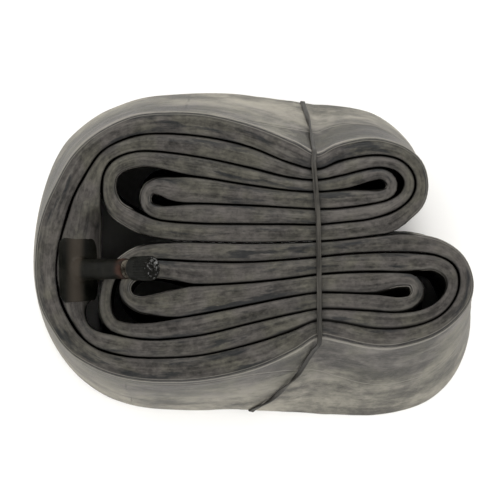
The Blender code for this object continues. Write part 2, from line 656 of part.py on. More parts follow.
def ribbed_ring(radius, along, sides):
    """A ring of the cap's grip: every other point lies in the valley between two ribs."""
    ring = []
    for k in range(sides):
        r = radius - RIB_DEPTH * (k % 2)
        a = 2 * math.pi * k / sides
        ring.append((r * math.cos(a), r * math.sin(a), along))
    return ring


def make_cap(look, place):
    """The plastic valve cap: a plain skirt, a ribbed grip and a dished end."""
    sides = 2 * CAP_RIBS
    rings = [circle(r, w, sides) for r, w in CAP_LOW]
    rings.append(ribbed_ring(CAP_RADIUS, CAP_MOUTH + SKIRT + 0.3, sides))
    rings.append(ribbed_ring(CAP_RADIUS, CAP_END - 0.4, sides))
    rings += [circle(r, w, sides) for r, w in CAP_TOP]
    points = [point for ring in rings for point in ring]
    faces = []
    for i in range(len(rings) - 1):
        faces += band_faces(i * sides, (i + 1) * sides, sides)
    last, bore = (len(rings) - 1) * sides, len(rings) * sides
    ceiling = bore + sides
    points += circle(CAP_BORE, CAP_MOUTH, sides) + circle(CAP_BORE, CAP_CEILING, sides)
    dish_middle = len(points)
    points += [(0.0, 0.0, CAP_DISH), (0.0, 0.0, CAP_CEILING)]
    faces += band_faces(bore, 0, sides)
    faces += band_faces(ceiling, bore, sides)
    for k in range(sides):
        after = (k + 1) % sides
        faces.append((last + k, last + after, dish_middle))
        faces.append((ceiling + after, ceiling + k, dish_middle + 1))
    return add_object("valve_cap", points, faces, look, place)


# ---- the rubber band --------------------------------------------------------------------------
def layer_stations(fold, layer):
    """Stations of the first or last layer between the fold's ends, in order of x."""
    toward = 1.0 if layer == 1 else -1.0
    outline = FOLD_LINES[0] if layer == 1 else FOLD_LINES[-1]
    found = []
    for i, (x, y) in enumerate(fold.inner):
        depth = abs(y - np.interp(x, FOLD_X, outline))
        if y * toward > OUTSIDE_LEAST_Y and abs(x) < OUTSIDE_MOST_X and depth < OUTSIDE_DEPTH:
            found.append(i)
    return sorted(found, key=lambda i: fold.inner[i, 0])


def wall_point(fold, stations, x, share):
    """A point on the bundle's outside wall, at an inner-edge x and a share of its depth."""
    toward = 1.0 if fold.inner[stations[0], 1] > 0 else -1.0
    rows = []
    for i in stations:
        side = 1 if fold.inner_normals[i, 1] * toward > 0 else -1
        inner = fold.inner[i] + fold.inner_normals[i] * side * fold.inner_half[side][i]
        outer = fold.outer[i] + fold.outer_normals[i] * side * fold.outer_half[side][i]
        foot = inner + (outer - inner) * share
        height = fold.height[i] + (fold.lift[i] - fold.height[i]) * share
        rows.append((fold.inner[i, 0], foot[0], foot[1], height))
    rows = np.array(rows)
    return Vector([float(np.interp(x, rows[:, 0], rows[:, k])) for k in (1, 2, 3)])


def wall_route(fold, layer, top_x, foot_x, off):
    """The band's way down one outside wall: points and outward directions."""
    stations = layer_stations(fold, layer)
    toward = 1.0 if layer == 1 else -1.0
    corner = Vector((0.0, BAND_SIDE * toward, BAND_UP))
    route = [(wall_point(fold, stations, top_x, 0.0) + corner * (off - 0.2), corner)]
    for share in BAND_SHARES:
        x = top_x + (foot_x - top_x) * share
        middle = wall_point(fold, stations, x, share)
        along = wall_point(fold, stations, x + 1.0, share) - middle
        down = wall_point(fold, stations, x, share + 0.03) - middle
        out = along.cross(down).normalized()
        out *= math.copysign(1.0, out.y * toward)
        route.append((middle + out * (off + BAND_LIFT), out))
    foot = wall_point(fold, stations, foot_x, 1.0)
    corner = Vector((0.0, BAND_SIDE * toward, -BAND_UP))
    route.append((Vector((foot.x, foot.y + BAND_SIDE * toward, GROOVE_DEPTH - 0.3)), corner))
    inward = Vector((foot.x, foot.y - BAND_INWARD * toward, BAND_FLOOR_GAP + BAND_THICK / 2))
    route.append((inward, Vector((0.0, 0.0, -1.0))))
    return route


def band_route(fold):
    """Points and outward directions of the band's middle line, once round the bundle."""
    off = BAND_GAP + BAND_THICK / 2
    top_y = [row[0] for row in BAND_TOP_X][::-1]
    top_x = [row[1] for row in BAND_TOP_X][::-1]
    waist = [np.interp(WAIST_X, FOLD_X, line) for line in FOLD_LINES]
    route = []
    for a, b in zip(waist, waist[1:]):
        y = (a + b) / 2
        x = np.interp(y, top_y, top_x)
        around = np.hypot(fold.inner[:, 0] - x, fold.inner[:, 1] - y) < BAND_OVER
        height = fold.height[around].max()
        route.append((Vector((x, y, height + off)), Vector((0.0, 0.0, 1.0))))
    route += wall_route(fold, 12, BAND_TOP_X[-1][1], BAND_NEAR_FOOT_X, off)
    route += wall_route(fold, 1, BAND_TOP_X[0][1], BAND_FAR_FOOT_X, off)[::-1]
    return route


def make_band(fold, look):
    """The tie: a flat rubber band, a closed loop of rectangular section."""
    route = band_route(fold)
    rings = []
    for k, (middle, out) in enumerate(route):
        ahead = (route[(k + 1) % len(route)][0] - route[k - 1][0]).normalized()
        across = ahead.cross(out).normalized()
        out = across.cross(ahead).normalized()
        half_wide, half_thick = across * BAND_WIDTH / 2, out * BAND_THICK / 2
        rings.append([middle + half_wide + half_thick, middle - half_wide + half_thick,
                      middle - half_wide - half_thick, middle + half_wide - half_thick])
    return loft("tie_band", rings, look, None)


def move_to_origin():
    """Shift everything so the frame's origin lies under the middle of the bundle."""
    shift = Vector((-ORIGIN_X, -ORIGIN_Y, 0.0)) * MM
    for item in bpy.data.objects:
        item.location += shift


def main():
    clear_scene()
    looks = {
        "tube": material("tube_rubber", (0.075, 0.070, 0.064), 0.62),
        "boot": material("boot_rubber", (0.028, 0.026, 0.023), 0.50),
        "brass": material("stem_brass", (0.47, 0.40, 0.27), 0.35, 1.0),
        "seal": material("seal_rubber", (0.05, 0.045, 0.04), 0.60),
        "steel": material("core_steel", (0.55, 0.55, 0.54), 0.30, 1.0),
        "cap": material("cap_plastic", (0.016, 0.016, 0.015), 0.42),
        "band": material("band_rubber", (0.07, 0.065, 0.055), 0.65),
    }
    fold = Fold()
    make_tube(fold, looks["tube"])
    place = stem_frame(fold)
    make_boot(looks["boot"], place)
    make_stem(looks["brass"], place)
    make_core(looks, place)
    make_spring(looks["steel"], place)
    make_cap(looks["cap"], place)
    turned_ring("cap_gasket", CAP_GASKET, looks["seal"], place, 20)
    make_band(fold, looks["band"])
    move_to_origin()


main()
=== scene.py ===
"""The looks of the folded inner tube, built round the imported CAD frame.

The tube, its boot, the stem, the core's spring, the cap and the rubber band are rebuilt as fine
meshes on the same route and axes as their CAD solids. Sizes are in millimetres; a mesh is scaled
to metres when it is made.
"""

import math

import bmesh
import bpy
import numpy as np
from mathutils import Matrix, Vector, noise


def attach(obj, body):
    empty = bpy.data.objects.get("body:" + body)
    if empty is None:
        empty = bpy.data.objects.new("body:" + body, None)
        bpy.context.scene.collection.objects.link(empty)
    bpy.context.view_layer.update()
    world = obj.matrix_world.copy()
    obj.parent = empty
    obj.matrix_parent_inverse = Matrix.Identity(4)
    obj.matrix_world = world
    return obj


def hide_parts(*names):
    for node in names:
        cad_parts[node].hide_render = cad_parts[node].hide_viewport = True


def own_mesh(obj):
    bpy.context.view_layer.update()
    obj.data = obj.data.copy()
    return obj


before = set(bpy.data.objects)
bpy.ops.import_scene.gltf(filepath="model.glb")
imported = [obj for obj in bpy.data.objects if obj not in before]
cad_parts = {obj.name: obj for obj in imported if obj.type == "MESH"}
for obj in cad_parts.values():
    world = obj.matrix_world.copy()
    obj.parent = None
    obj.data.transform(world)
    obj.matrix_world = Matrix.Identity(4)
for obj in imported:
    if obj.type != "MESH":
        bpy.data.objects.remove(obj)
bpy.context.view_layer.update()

MM = 0.001

# ---- the fold, with layers a little closer together than in the CAD model ----
FLAT_WIDTH = 56.0  # of the tube pressed flat, from its inner edge to its outer edge
LAYER_GAP = 0.5  # between one layer and the next
BESIDE = 2.5  # a neighbour counts when it lies within this length along the layer
OWN_LENGTH = 8.0  # a layer's own points within this length along it are not neighbours
NO_NEIGHBOUR = 50.0  # the room beside a layer that has none
OUTERMOST = 40.0  # a layer with more room than this is on the outside
MOST_OUTER_EDGE = 10.0  # the outer edge is never thicker than this
MOST_STRETCH = 1.6  # nor more than this many times as thick as the inner edge
ORIGIN_X, ORIGIN_Y = -2.0, -1.3  # the frame's origin, in the fold's own axes

# The inner edge's folds: y of the line between two layers at each x, from the far side (+Y).
FOLD_X = (-23.1, -2.1, 14.7, 26.5, 35.7)
FOLD_LINES = (
    (57.1, 52.1, 45.3, 39.9, 44.1),
    (47.7, 43.1, 36.3, 33.6, 37.2),
    (38.9, 34.4, 30.2, 29.2, 30.9),
    (30.5, 27.1, 24.8, 24.2, 25.0),
    (19.4, 18.6, 17.6, 17.0, 17.4),
    (11.1, 10.8, 10.7, 10.5, 11.4),
    (3.4, 2.9, 3.2, 3.6, 4.2),
    (-4.8, -5.0, -3.9, -2.9, -1.9),
    (-14.6, -13.5, -11.7, -10.1, -9.4),
    (-26.9, -22.8, -19.4, -17.6, -17.6),
    (-35.7, -30.7, -26.7, -24.4, -24.4),
    (-44.1, -39.3, -33.9, -29.2, -30.0),
    (-54.3, -49.8, -42.4, -35.7, -37.0),
)

# Once round the tube: each layer, counted from +Y, and the turn that follows it, as x, y and
# thickness on the middle of the inner edge. Layers run to +X and back in turn.
ROUND = (
    (1, ((48.3, 43.1, 7.0), (56.7, 42.3, 6.1), (63.4, 39.7, 5.5), (68.3, 34.9, 5.4),
         (70.2, 27.3, 5.2), (68.3, 20.4, 6.0), (63.0, 15.3, 6.5), (56.7, 11.3, 8.0),
         (48.3, 9.2, 7.1))),
    (6, ((-44.1, 9.7, 7.6), (-53.1, 13.7, 7.2), (-58.2, 17.2, 6.6), (-60.9, 22.1, 5.9),
         (-61.5, 26.3, 5.5), (-60.7, 31.5, 5.7), (-57.1, 35.5, 6.0), (-50.0, 38.0, 6.4),
         (-44.1, 38.2, 6.6))),
    (3, ((48.3, 31.4, 5.2), (53.3, 32.0, 4.8), (56.7, 29.9, 4.6), (57.8, 26.7, 4.6),
         (56.5, 24.0, 4.6), (51.7, 22.3, 4.8), (48.3, 22.0, 5.9))),
    (4, ((-33.6, 25.5, 10.1), (-39.9, 26.6, 7.5), (-44.3, 25.6, 5.2), (-46.1, 21.4, 4.4),
         (-44.8, 17.7, 4.9), (-39.9, 15.4, 6.1), (-33.6, 15.1, 7.2))),
    (5, ((48.3, 16.0, 6.1), (57.1, 18.3, 5.4), (62.8, 22.1, 4.9), (65.2, 27.3, 4.8),
         (64.1, 31.6, 4.7), (60.1, 35.5, 4.8), (54.6, 37.0, 5.1), (48.3, 36.8, 5.5))),
    (2, ((-44.1, 45.1, 7.3), (-54.4, 43.5, 6.0), (-62.6, 39.3, 5.4), (-66.5, 33.4, 6.3),
         (-68.9, 26.7, 9.3), (-71.0, 19.7, 12.2), (-73.3, 8.4, 14.7), (-74.3, 0.0, 16.5),
         (-74.8, -8.4, 17.0), (-75.2, -16.8, 14.7), (-76.2, -22.3, 10.0), (-75.2, -28.1, 6.3),
         (-72.2, -33.4, 5.3), (-65.9, -37.8, 7.3), (-56.7, -39.9, 8.2), (-44.1, -41.4, 7.6))),
    (11, ((48.3, -28.8, 7.1), (58.8, -29.3, 6.8), (69.3, -28.1, 5.9), (77.1, -24.6, 5.6),
          (81.8, -19.4, 5.0), (83.4, -14.3, 5.0), (81.9, -8.9, 5.6), (76.0, -5.3, 5.9),
          (69.3, -4.8, 7.1), (60.9, -5.0, 8.1), (48.3, -5.0, 7.8))),
    (8, ((-35.7, -8.1, 7.8), (-44.1, -7.6, 7.3), (-50.2, -9.2, 5.9), (-54.2, -13.2, 4.8),
         (-54.8, -17.2, 4.7), (-52.7, -20.6, 4.7), (-48.3, -22.7, 6.3), (-44.1, -23.0, 7.7),
         (-35.7, -22.6, 11.0))),
    (9, ((48.3, -13.5, 9.1), (54.6, -12.5, 7.3), (60.9, -12.0, 5.5), (66.6, -12.9, 4.9),
         (68.5, -16.8, 5.0), (66.8, -20.6, 4.9), (61.3, -22.6, 6.1), (54.6, -22.3, 6.7),
         (48.3, -21.6, 7.1))),
    (10, ((-35.7, -33.2, 7.8), (-44.1, -34.0, 7.1), (-54.6, -33.3, 5.9), (-60.3, -30.7, 5.1),
          (-63.0, -24.8, 5.0), (-62.5, -16.8, 4.7), (-60.3, -10.5, 4.8), (-55.7, -5.5, 5.0),
          (-50.0, -2.2, 5.8), (-44.1, -0.8, 6.3), (-35.7, -0.6, 7.2))),
    (7, ((48.3, 2.3, 6.8), (60.9, 2.9, 7.6), (69.3, 2.5, 7.4), (77.9, 0.7, 6.5),
         (85.0, -3.4, 5.2), (88.1, -8.4, 5.0), (88.9, -14.3, 5.9), (87.4, -20.4, 6.1),
         (82.4, -27.3, 5.4), (75.0, -32.3, 6.0), (65.1, -35.5, 6.7), (56.7, -36.6, 7.6),
         (48.3, -36.1, 7.6))),
    (12, ((-44.1, -50.0, 9.6), (-56.7, -48.5, 8.7), (-67.2, -44.9, 8.0), (-76.0, -39.1, 7.9),
          (-81.9, -30.9, 8.1), (-86.1, -21.8, 8.8), (-87.8, -12.6, 8.8), (-87.8, -4.2, 9.0),
          (-86.8, 4.2, 9.6), (-84.2, 14.5, 9.8), (-80.0, 25.0, 8.9), (-73.7, 36.3, 8.8),
          (-67.4, 43.7, 7.4), (-58.6, 49.1, 7.6), (-50.4, 52.1, 8.2), (-44.1, 53.0, 8.6))),
)

OUTSIDE_ROWS = (1, 12)  # the layers on the outside of the bundle,
OUTSIDE_TURNS = (1, 7, 12)  # and those whose turns are

# How far out the outer edge lies: factors on the inner edge's x and y.
SPREAD_X = (1.10, -0.00033)  # factor at x = 0, and its change for each mm of x
SPREAD_LEAN = (1.0e-5, 1.7e-5)  # change of the x factor with x times y, at -X and at +X
SPREAD_AT_X = (-92.0, -79.0, -65.0, -44.0, -23.0, -2.0, 10.5, 26.0, 36.0, 48.0, 61.0, 75.0, 92.0)
SPREAD_FAR = (1.40, 1.35, 1.26, 1.26, 1.31, 1.43, 1.55, 1.79, 1.61, 1.40, 1.30, 1.22, 1.22)
SPREAD_NEAR = (1.32, 1.32, 1.37, 1.39, 1.43, 1.56, 1.78, 2.28, 2.24, 2.03, 1.97, 2.03, 2.03)
SPREAD_BLEND = 25.0  # either side of y = 0, over which the far factor turns into the near one
FINE_STEP = 0.5  # between the fine points of the edges' routes

VALVE_X, VALVE_Y = -74.8, -8.4  # the boot's middle
VALVE_DIP = 4.0  # the tube's inner edge lies this much lower under the boot
VALVE_ROLL = math.radians(30.0)  # and is rolled this much towards +X
VALVE_FLAT = 19.0  # length each way along the tube that is rolled all the way
VALVE_FADE = 12.0  # length over which the roll and the dip fade out
STEM_RISE = math.radians(38.0)
STEM_YAW = math.radians(2.0)
BOOT_GAP = 0.65  # between the boot and the tube
BOOT_SQUARE = 6.5  # the boot is square to the stem from this far along it
PAD_TOP = 3.5  # below this along the stem it follows the tube's rolled edge
BOOT_SIDES, STEM_SIDES = 96, 48
BOOT_END = 28.3
STEM_FOOT = 3.4
STEM_TIP = 39.3
CAP_MOUTH = 32.1
CAP_END = 42.3
CAP_BORE = 4.25
CAP_RIBS = 28
THREAD_PITCH = 0.794
THREAD_DEPTH = 0.40
STEM_THREAD_RADIUS = 3.85
THREAD_ROWS = 9  # rings of its mesh for each pitch
SPRING_ENDS = (23.05, 27.45)
SPRING_TURNS = 6
SPRING_STEPS = 24  # of its mesh for each turn
SPRING_RADIUS = 1.05
WIRE_RADIUS = 0.14
WIRE_SIDES = 10

GROOVE_DEPTH = 1.8  # in the tube's outer edge, where the band runs under it
GROOVE_FLAT = 3.0  # half of the groove's flat part
GROOVE_HALF = 7.0  # half of the groove
BAND_TOP_X = ((40.7, 24.4), (14.7, 26.5), (-33.6, 27.3))  # y and x along the inner edges
BAND_FAR_FOOT_X = 20.5  # x on the inner edge whose outer edge the band passes under, at +Y
BAND_NEAR_FOOT_X = -2.2  # and at -Y
WAIST_X = 26.0
OUTSIDE_LEAST_Y = 34.0  # the outside layers lie further out than this,
OUTSIDE_MOST_X = 56.0  # within this of the middle,
OUTSIDE_DEPTH = 7.0  # and this near the fold's outline

# ---- detail that only the looks have ----
RING_STEP = 1.5  # of the tube's mesh, along it
CORNER = 0.8  # radius of the inner edge's corners
OUTER_CORNER = 1.6
CROWN = 0.40  # how far the inner edge's sides lie below its middle
OUTER_SMOOTH = 9  # fine points either side that the outer edge's route is averaged over
OUTSIDE_SMOOTH = 32  # and on the bundle's outside
HALF_SMOOTH, BEND_SMOOTH = 3, 4  # the same for a layer's halves and for its bend
# The mould's line along each corner: below the corner's start, and out of the wall's face.
LIP = ((0.10, -0.32), (0.62, -0.36), (0.95, 0.28), (1.30, 0.40), (1.80, 0.34), (2.40, 0.14),
       (3.2, 0.0))
ROOM_LIP = (1.5, 4.5)  # room beside a layer at which that line starts and is whole
ROOM_OUTSIDE = (8.0, 20.0)  # and at which its wall starts to be outside and is so
HOLLOW_LIP = 0.25  # how much of that line's painted highlight and shade the edges inside the fold have
ROLL_CURVE = 0.03  # how fast the inner edge falls away towards +X under the boot, per mm
SEAM_WIDTH = 1.30  # of the mould's line down each wall
# Its shape: how far down from its middle, in widths, and how far out of the wall's face.
SEAM_SHAPE = ((-1.0, 0.0), (-0.45, 0.20), (0.0, -0.42), (0.6, 0.06), (1.2, 0.0))
SEAM_X = (-6.0, 4.0, 20.0, 36.0)  # where that line leaves the corner, on the inner edge
SEAM_SHARE = (0.06, 0.2, 0.38, 0.54)  # and its share of the way down there
SEAM_USUAL, SEAM_SWAY = 0.52, 0.05  # its share elsewhere, and how much that wanders
SEAM_SMOOTH = 12  # rings either side that its share is averaged over
ROLL_FROM, ROLL_TO = 2.4, 2.0  # the roll fades from this far down a wall to this far above its foot
FLUTES = (0.22, 0.18)  # heights of the long waves on the inner edge
CREASES = (0.10, 0.02)  # heights of the creases on the inside and the outside of a bend
CREASE_BEND = 0.15  # bend, per mm, from which they have their full height
DENTS = (0.40, 0.10)  # depths of the walls' long and short dents
SPLICES = ((-30.0, 1), (-56.5, -1))  # x of the marks across the two outside walls, and their side
DISH_FROM = 12  # the ring of the cap's outside where its dished end starts
BAND_WIDTH, BAND_THICK = 2.1, 0.8
BAND_STEP = 0.8  # of the band's mesh, along it
BAND_SHARES = (0.04, 0.12, 0.22, 0.34, 0.46, 0.58, 0.70, 0.82, 0.92, 0.975)  # its points down a wall
BAND_INWARD = 2.4  # how far under the bundle its first point on the floor lies

# ---- the stage ----
# The tent's opening, as the height of a direction on a unit sphere, and its light there.
TENT_RIM, TENT_HOLE = 0.80, 0.93
TENT_BRIGHT, TENT_DARK = 1.85, 0.08
TENT_FAR_SHARE = 0.22  # how much brighter its far side is
CAMERA_FIELD = 210.0  # width of the picture at the inner edges' height
CAMERA_AWAY = 470.0  # from the camera down to the inner edges
CAMERA_X, CAMERA_Y = -0.1, 1.3


# ---- small tools ----
def smooth_step(value):
    value = np.clip(value, 0.0, 1.0)
    return value * value * (3.0 - 2.0 * value)


def soft_share(value, limits):
    """0 below the first limit and 1 above the second."""
    return smooth_step((value - limits[0]) / (limits[1] - limits[0]))


def add_piece(name, points, faces, look, body, stands_for, smooth_angle=50.0):
    """A closed mesh from points in millimetres, riding on a body in place of a CAD node."""
    mesh = bpy.data.meshes.new(name)
    shift = np.array([-ORIGIN_X, -ORIGIN_Y, 0.0])
    mesh.from_pydata((np.asarray(points, float) + shift) * MM, [], faces)
    mesh.update()
    made = bmesh.new()
    made.from_mesh(mesh)
    bmesh.ops.recalc_face_normals(made, faces=made.faces)
    made.to_mesh(mesh)
    made.free()
    mesh.materials.append(look)
    mesh.shade_smooth()
    if smooth_angle:
        mesh.set_sharp_from_angle(angle=math.radians(smooth_angle))
    item = bpy.data.objects.new(name, mesh)
    show(item)
    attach(item, body)
    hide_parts(stands_for)
    return item


def show(item):
    bpy.context.scene.collection.objects.link(item)


def add_values(item, name, values):
    """A number or a vector for each point of a mesh, for its material to read."""
    values = np.asarray(values, np.float32)
    kind, field = ("FLOAT_VECTOR", "vector") if values.ndim == 2 else ("FLOAT", "value")
    layer = item.data.attributes.new(name, kind, "POINT")
    layer.data.foreach_set(field, values.ravel())


def ring_faces(first, second, size):
    """Quads between two rings of equal size whose points start at first and second."""
    return [(first + k, first + (k + 1) % size, second + (k + 1) % size, second + k)
            for k in range(size)]


def skin(count, size, closed=True):
    """Quads from each ring of points to the next and, if closed, from the last to the first."""
    faces = []
    for i in range(count if closed else count - 1):
        faces += ring_faces(i * size, (i + 1) % count * size, size)
    return faces


def around(radius, angle, along):
    return Vector((radius * math.cos(angle), radius * math.sin(angle), along))


def wave(x, y, z):
    return noise.noise(Vector((x, y, z)))


# ---- making the fold ----
def fold_route():
    """Every control point of the inner edge, once round the tube: x, y, thickness, outside or not."""
    route = []
    for number, (layer, turn) in enumerate(ROUND):
        upper, lower = FOLD_LINES[layer - 1], FOLD_LINES[layer]
        on_row = 1.0 if layer in OUTSIDE_ROWS else 0.0
        on_turn = 1.0 if layer in OUTSIDE_TURNS else 0.0
        row = [(x, (a + b) / 2, a - b, on_row) for x, a, b in zip(FOLD_X, upper, lower)]
        route += row if number % 2 == 0 else row[::-1]
        route += [(*point, on_turn) for point in turn]
    return np.array(route)


def spline_piece(p, axes, step):
    """A centripetal Catmull-Rom curve from the second of four rows to the third."""
    t = [0.0]
    for a, b in zip(p, p[1:]):
        t.append(t[-1] + math.hypot(*(b - a)[:axes]) ** 0.5)
    pieces = max(2, round(math.hypot(*(p[2] - p[1])[:axes]) / step))
    curve = []
    for k in range(pieces):
        u = t[1] + (t[2] - t[1]) * k / pieces
        level = list(p)
        for wide in (1, 2):
            level = [a + (b - a) * (u - t[i]) / (t[i + wide] - t[i])
                     for i, (a, b) in enumerate(zip(level, level[1:]))]
        curve.append(level[0] + (level[1] - level[0]) * (u - t[1]) / (t[2] - t[1]))
    return curve


def closed_spline(rows, step):
    """A closed curve in plan through the rows, with a point about every step."""
    curve = []
    for i in range(len(rows)):
        curve += spline_piece([rows[(i + k) % len(rows)] for k in (-1, 0, 1, 2)], 2, step)
    return np.array(curve)


def spread(points):
    """Where the outer edge lies for points on the inner edge."""
    x, y = points[:, 0], points[:, 1]
    share = smooth_step((y + SPREAD_BLEND) / (2 * SPREAD_BLEND))
    far = np.interp(x, SPREAD_AT_X, SPREAD_FAR)
    near = np.interp(x, SPREAD_AT_X, SPREAD_NEAR)
    lean = np.where(x > 0, SPREAD_LEAN[1] * x * np.minimum(y, 0.0), SPREAD_LEAN[0] * x * y)
    across = x * (SPREAD_X[0] + SPREAD_X[1] * x - lean)
    return np.column_stack([across, y * (near + (far - near) * share)])


def edge_normals(points):
    ahead = np.roll(points, -1, axis=0) - np.roll(points, 1, axis=0)
    ahead /= np.linalg.norm(ahead, axis=1)[:, None]
    return np.column_stack([-ahead[:, 1], ahead[:, 0]])


def band_feet():
    """Where the band touches the outer edges: two points on the floor."""
    far_y = np.interp(BAND_FAR_FOOT_X, FOLD_X, FOLD_LINES[0])
    near_y = np.interp(BAND_NEAR_FOOT_X, FOLD_X, FOLD_LINES[-1])
    return spread(np.array([[BAND_FAR_FOOT_X, far_y], [BAND_NEAR_FOOT_X, near_y]]))


def groove_height(feet):
    """How high the outer edge is lifted off the floor to let the band pass under it."""
    start, end = band_feet()
    along = (end - start) / np.linalg.norm(end - start)
    offset = feet - start
    distance = np.abs(offset[:, 0] * along[1] - offset[:, 1] * along[0])
    return GROOVE_DEPTH * smooth_step((GROOVE_HALF - distance) / (GROOVE_HALF - GROOVE_FLAT))


def arc_lengths(points):
    steps = np.linalg.norm(np.roll(points, -1, axis=0) - points, axis=1)
    return np.concatenate([[0.0], np.cumsum(steps)[:-1]]), steps.sum()


def half_thicknesses(points, normals, thickness, side):
    """How far a layer reaches on one side, and how much room lies beyond it there."""
    length, total = arc_lengths(points)
    reach = thickness / 2
    room = np.full(len(points), NO_NEIGHBOUR)
    for i, point in enumerate(points):
        offset = points - point
        away = offset @ (side * normals[i])
        beside = np.abs(offset[:, 0] * normals[i][1] - offset[:, 1] * normals[i][0])
        apart = np.abs(length - length[i])
        apart = np.minimum(apart, total - apart)
        near = (away > 0) & (beside < BESIDE) & (apart > OWN_LENGTH)
        if near.any():
            other = np.where(near, away, np.inf).argmin()
            share = thickness[i] / (thickness[i] + thickness[other])
            reach[i] = min(reach[i], away[other] * share - LAYER_GAP / 2)
            room[i] = away[other] - thickness[other] / 2 - reach[i]
    return reach, room


def loop_smooth(values, reach):
    """Running means along a closed row of values."""
    window = np.ones(2 * reach + 1) / (2 * reach + 1)
    padded = np.concatenate([values[-reach:], values, values[:reach]])
    return np.convolve(padded, window, "valid")


def smooth_route(points, outside):
    """The outer edge's route without kinks, smoothed over a longer way on the bundle's outside."""
    share = smooth_step(loop_smooth(outside, OUTSIDE_SMOOTH))
    columns = []
    for column in points.T:
        tight = loop_smooth(column, OUTER_SMOOTH)
        wide = loop_smooth(column, OUTSIDE_SMOOTH)
        wide = 2 * wide - loop_smooth(wide, OUTSIDE_SMOOTH)
        columns.append(tight + (wide - tight) * share)
    return np.column_stack(columns)


class Fold:
    """The stations round the tube: edge middles, normals, half thicknesses and heights."""

    def __init__(self):
        fine = closed_spline(fold_route(), FINE_STEP)
        inner = fine[:, :2]
        outer = smooth_route(spread(inner), np.clip(fine[:, 3], 0.0, 1.0))
        length, total = arc_lengths(inner)
        valve = int(np.argmin(np.hypot(inner[:, 0] - VALVE_X, inner[:, 1] - VALVE_Y)))
        away = np.abs(length - length[valve])
        away = np.minimum(away, total - away)
        blend = smooth_step((VALVE_FLAT + VALVE_FADE - away) / VALVE_FADE)
        lean = np.linalg.norm(outer - inner, axis=1)
        height = np.sqrt(FLAT_WIDTH**2 - (0.5 * lean) ** 2)
        height += (FLAT_WIDTH - VALVE_DIP - height) * blend
        stretch = np.linalg.norm(outer - np.roll(outer, 1, axis=0), axis=1)
        stretch = np.clip(stretch / FINE_STEP, 1.0, MOST_STRETCH)
        thickness = {"inner": fine[:, 2], "outer": np.minimum(fine[:, 2] * stretch, MOST_OUTER_EDGE)}
        normals = {"inner": edge_normals(inner), "outer": edge_normals(outer)}
        heading = np.unwrap(np.arctan2(normals["inner"][:, 1], normals["inner"][:, 0]))
        bend = np.gradient(heading, length)

        picked = [0]
        for i in range(1, len(fine)):
            if length[i] - length[picked[-1]] >= RING_STEP:
                picked.append(i)
        self.total = total
        self.inner = inner[picked]
        self.outer = outer[picked]
        self.normals = {edge: normals[edge][picked] for edge in normals}
        self.half = {}
        self.room = {}
        for edge, points in (("inner", inner), ("outer", outer)):
            for side in (1, -1):
                reach, room = half_thicknesses(points, normals[edge], thickness[edge], side)
                self.half[edge, side] = loop_smooth(reach, HALF_SMOOTH)[picked]
                self.room[edge, side] = room[picked]
        self.height = height[picked]
        self.blend = blend[picked]
        self.bend = loop_smooth(bend, BEND_SMOOTH)[picked]
        self.lift = groove_height(self.outer)
        self.turn = 2 * math.pi * length[picked] / total
        self.count = len(picked)

    def seam_share(self):
        """The share of the way down its wall at which the mould's line runs."""
        usual = SEAM_USUAL + SEAM_SWAY * np.array([noise.noise(around(2, a, 7.0)) for a in self.turn])
        on_wall = np.interp(self.inner[:, 0], SEAM_X, SEAM_SHARE)
        outermost = np.maximum(self.room["inner", 1], self.room["inner", -1]) > OUTERMOST
        return loop_smooth(np.where(outermost, on_wall, usual), SEAM_SMOOTH)


def periodic_noise(fold, i, across, long, short, seed):
    """Noise that closes round the tube: long and short are its sizes along and across it."""
    radius = fold.total / (2 * math.pi * long)
    a = fold.turn[i]
    return wave(radius * math.cos(a), radius * math.sin(a) + seed, across / short)


def section_rows(fold):
    """Rows of the section, from the middle of the inner edge round one side to the outer edge.

    Each row is a label, its place, and how far out of the wall's face it lies. The place is a
    share of the edge's half, an angle round a corner, or mm below the edge at each station.
    """
    depth = np.linalg.norm(
        np.column_stack([fold.inner - fold.outer, fold.height - fold.lift]), axis=1)
    seam = np.clip(fold.seam_share() * depth, CORNER + LIP[-1][0] + 3 * SEAM_WIDTH, None)
    foot = depth - OUTER_CORNER
    rows = []
    for part in (0.0, 0.2, 0.4, 0.6, 0.8, 1.0):
        rows.append(("face", part, None))
    for turn in (18, 36, 54, 72, 90):
        rows.append(("corner", math.radians(turn), None))
    for down, out in LIP:
        rows.append(("wall", np.full(fold.count, CORNER + down), out))
    start = CORNER + LIP[-1][0]
    before = seam - SEAM_WIDTH
    for part in (0.25, 0.5, 0.75):
        rows.append(("wall", start + (before - start) * part, 0.0))
    for widths, out in SEAM_SHAPE:
        rows.append(("wall", seam + SEAM_WIDTH * widths, out))
    after = seam + SEAM_WIDTH * SEAM_SHAPE[-1][0]
    for part in (0.2, 0.4, 0.6, 0.8):
        rows.append(("wall", after + (foot - after) * part, 0.0))
    for turn in (0, 30, 60, 90):
        rows.append(("foot", math.radians(turn), None))
    rows.append(("foot_face", 0.5, None))
    return rows, depth


def wall_place(fold, i, side, share, out):
    """A point on the wall of station i at a share of its depth, out from its face."""
    inner = np.array([*fold.inner[i], fold.height[i]])
    outer = np.array([*fold.outer[i], fold.lift[i]])
    normal = fold.normals["inner"][i] * (1.0 - share) + fold.normals["outer"][i] * share
    normal /= np.linalg.norm(normal)
    half = fold.half["inner", side][i] * (1.0 - share) + fold.half["outer", side][i] * share
    place = inner + (outer - inner) * share
    place[:2] += normal * side * (half + out)
    return place


def boot_fall(x):
    """How much further down the inner edge lies under the boot than its flat tilt takes it."""
    return ROLL_CURVE * max(0.0, x - VALVE_X + 1.0) ** 2


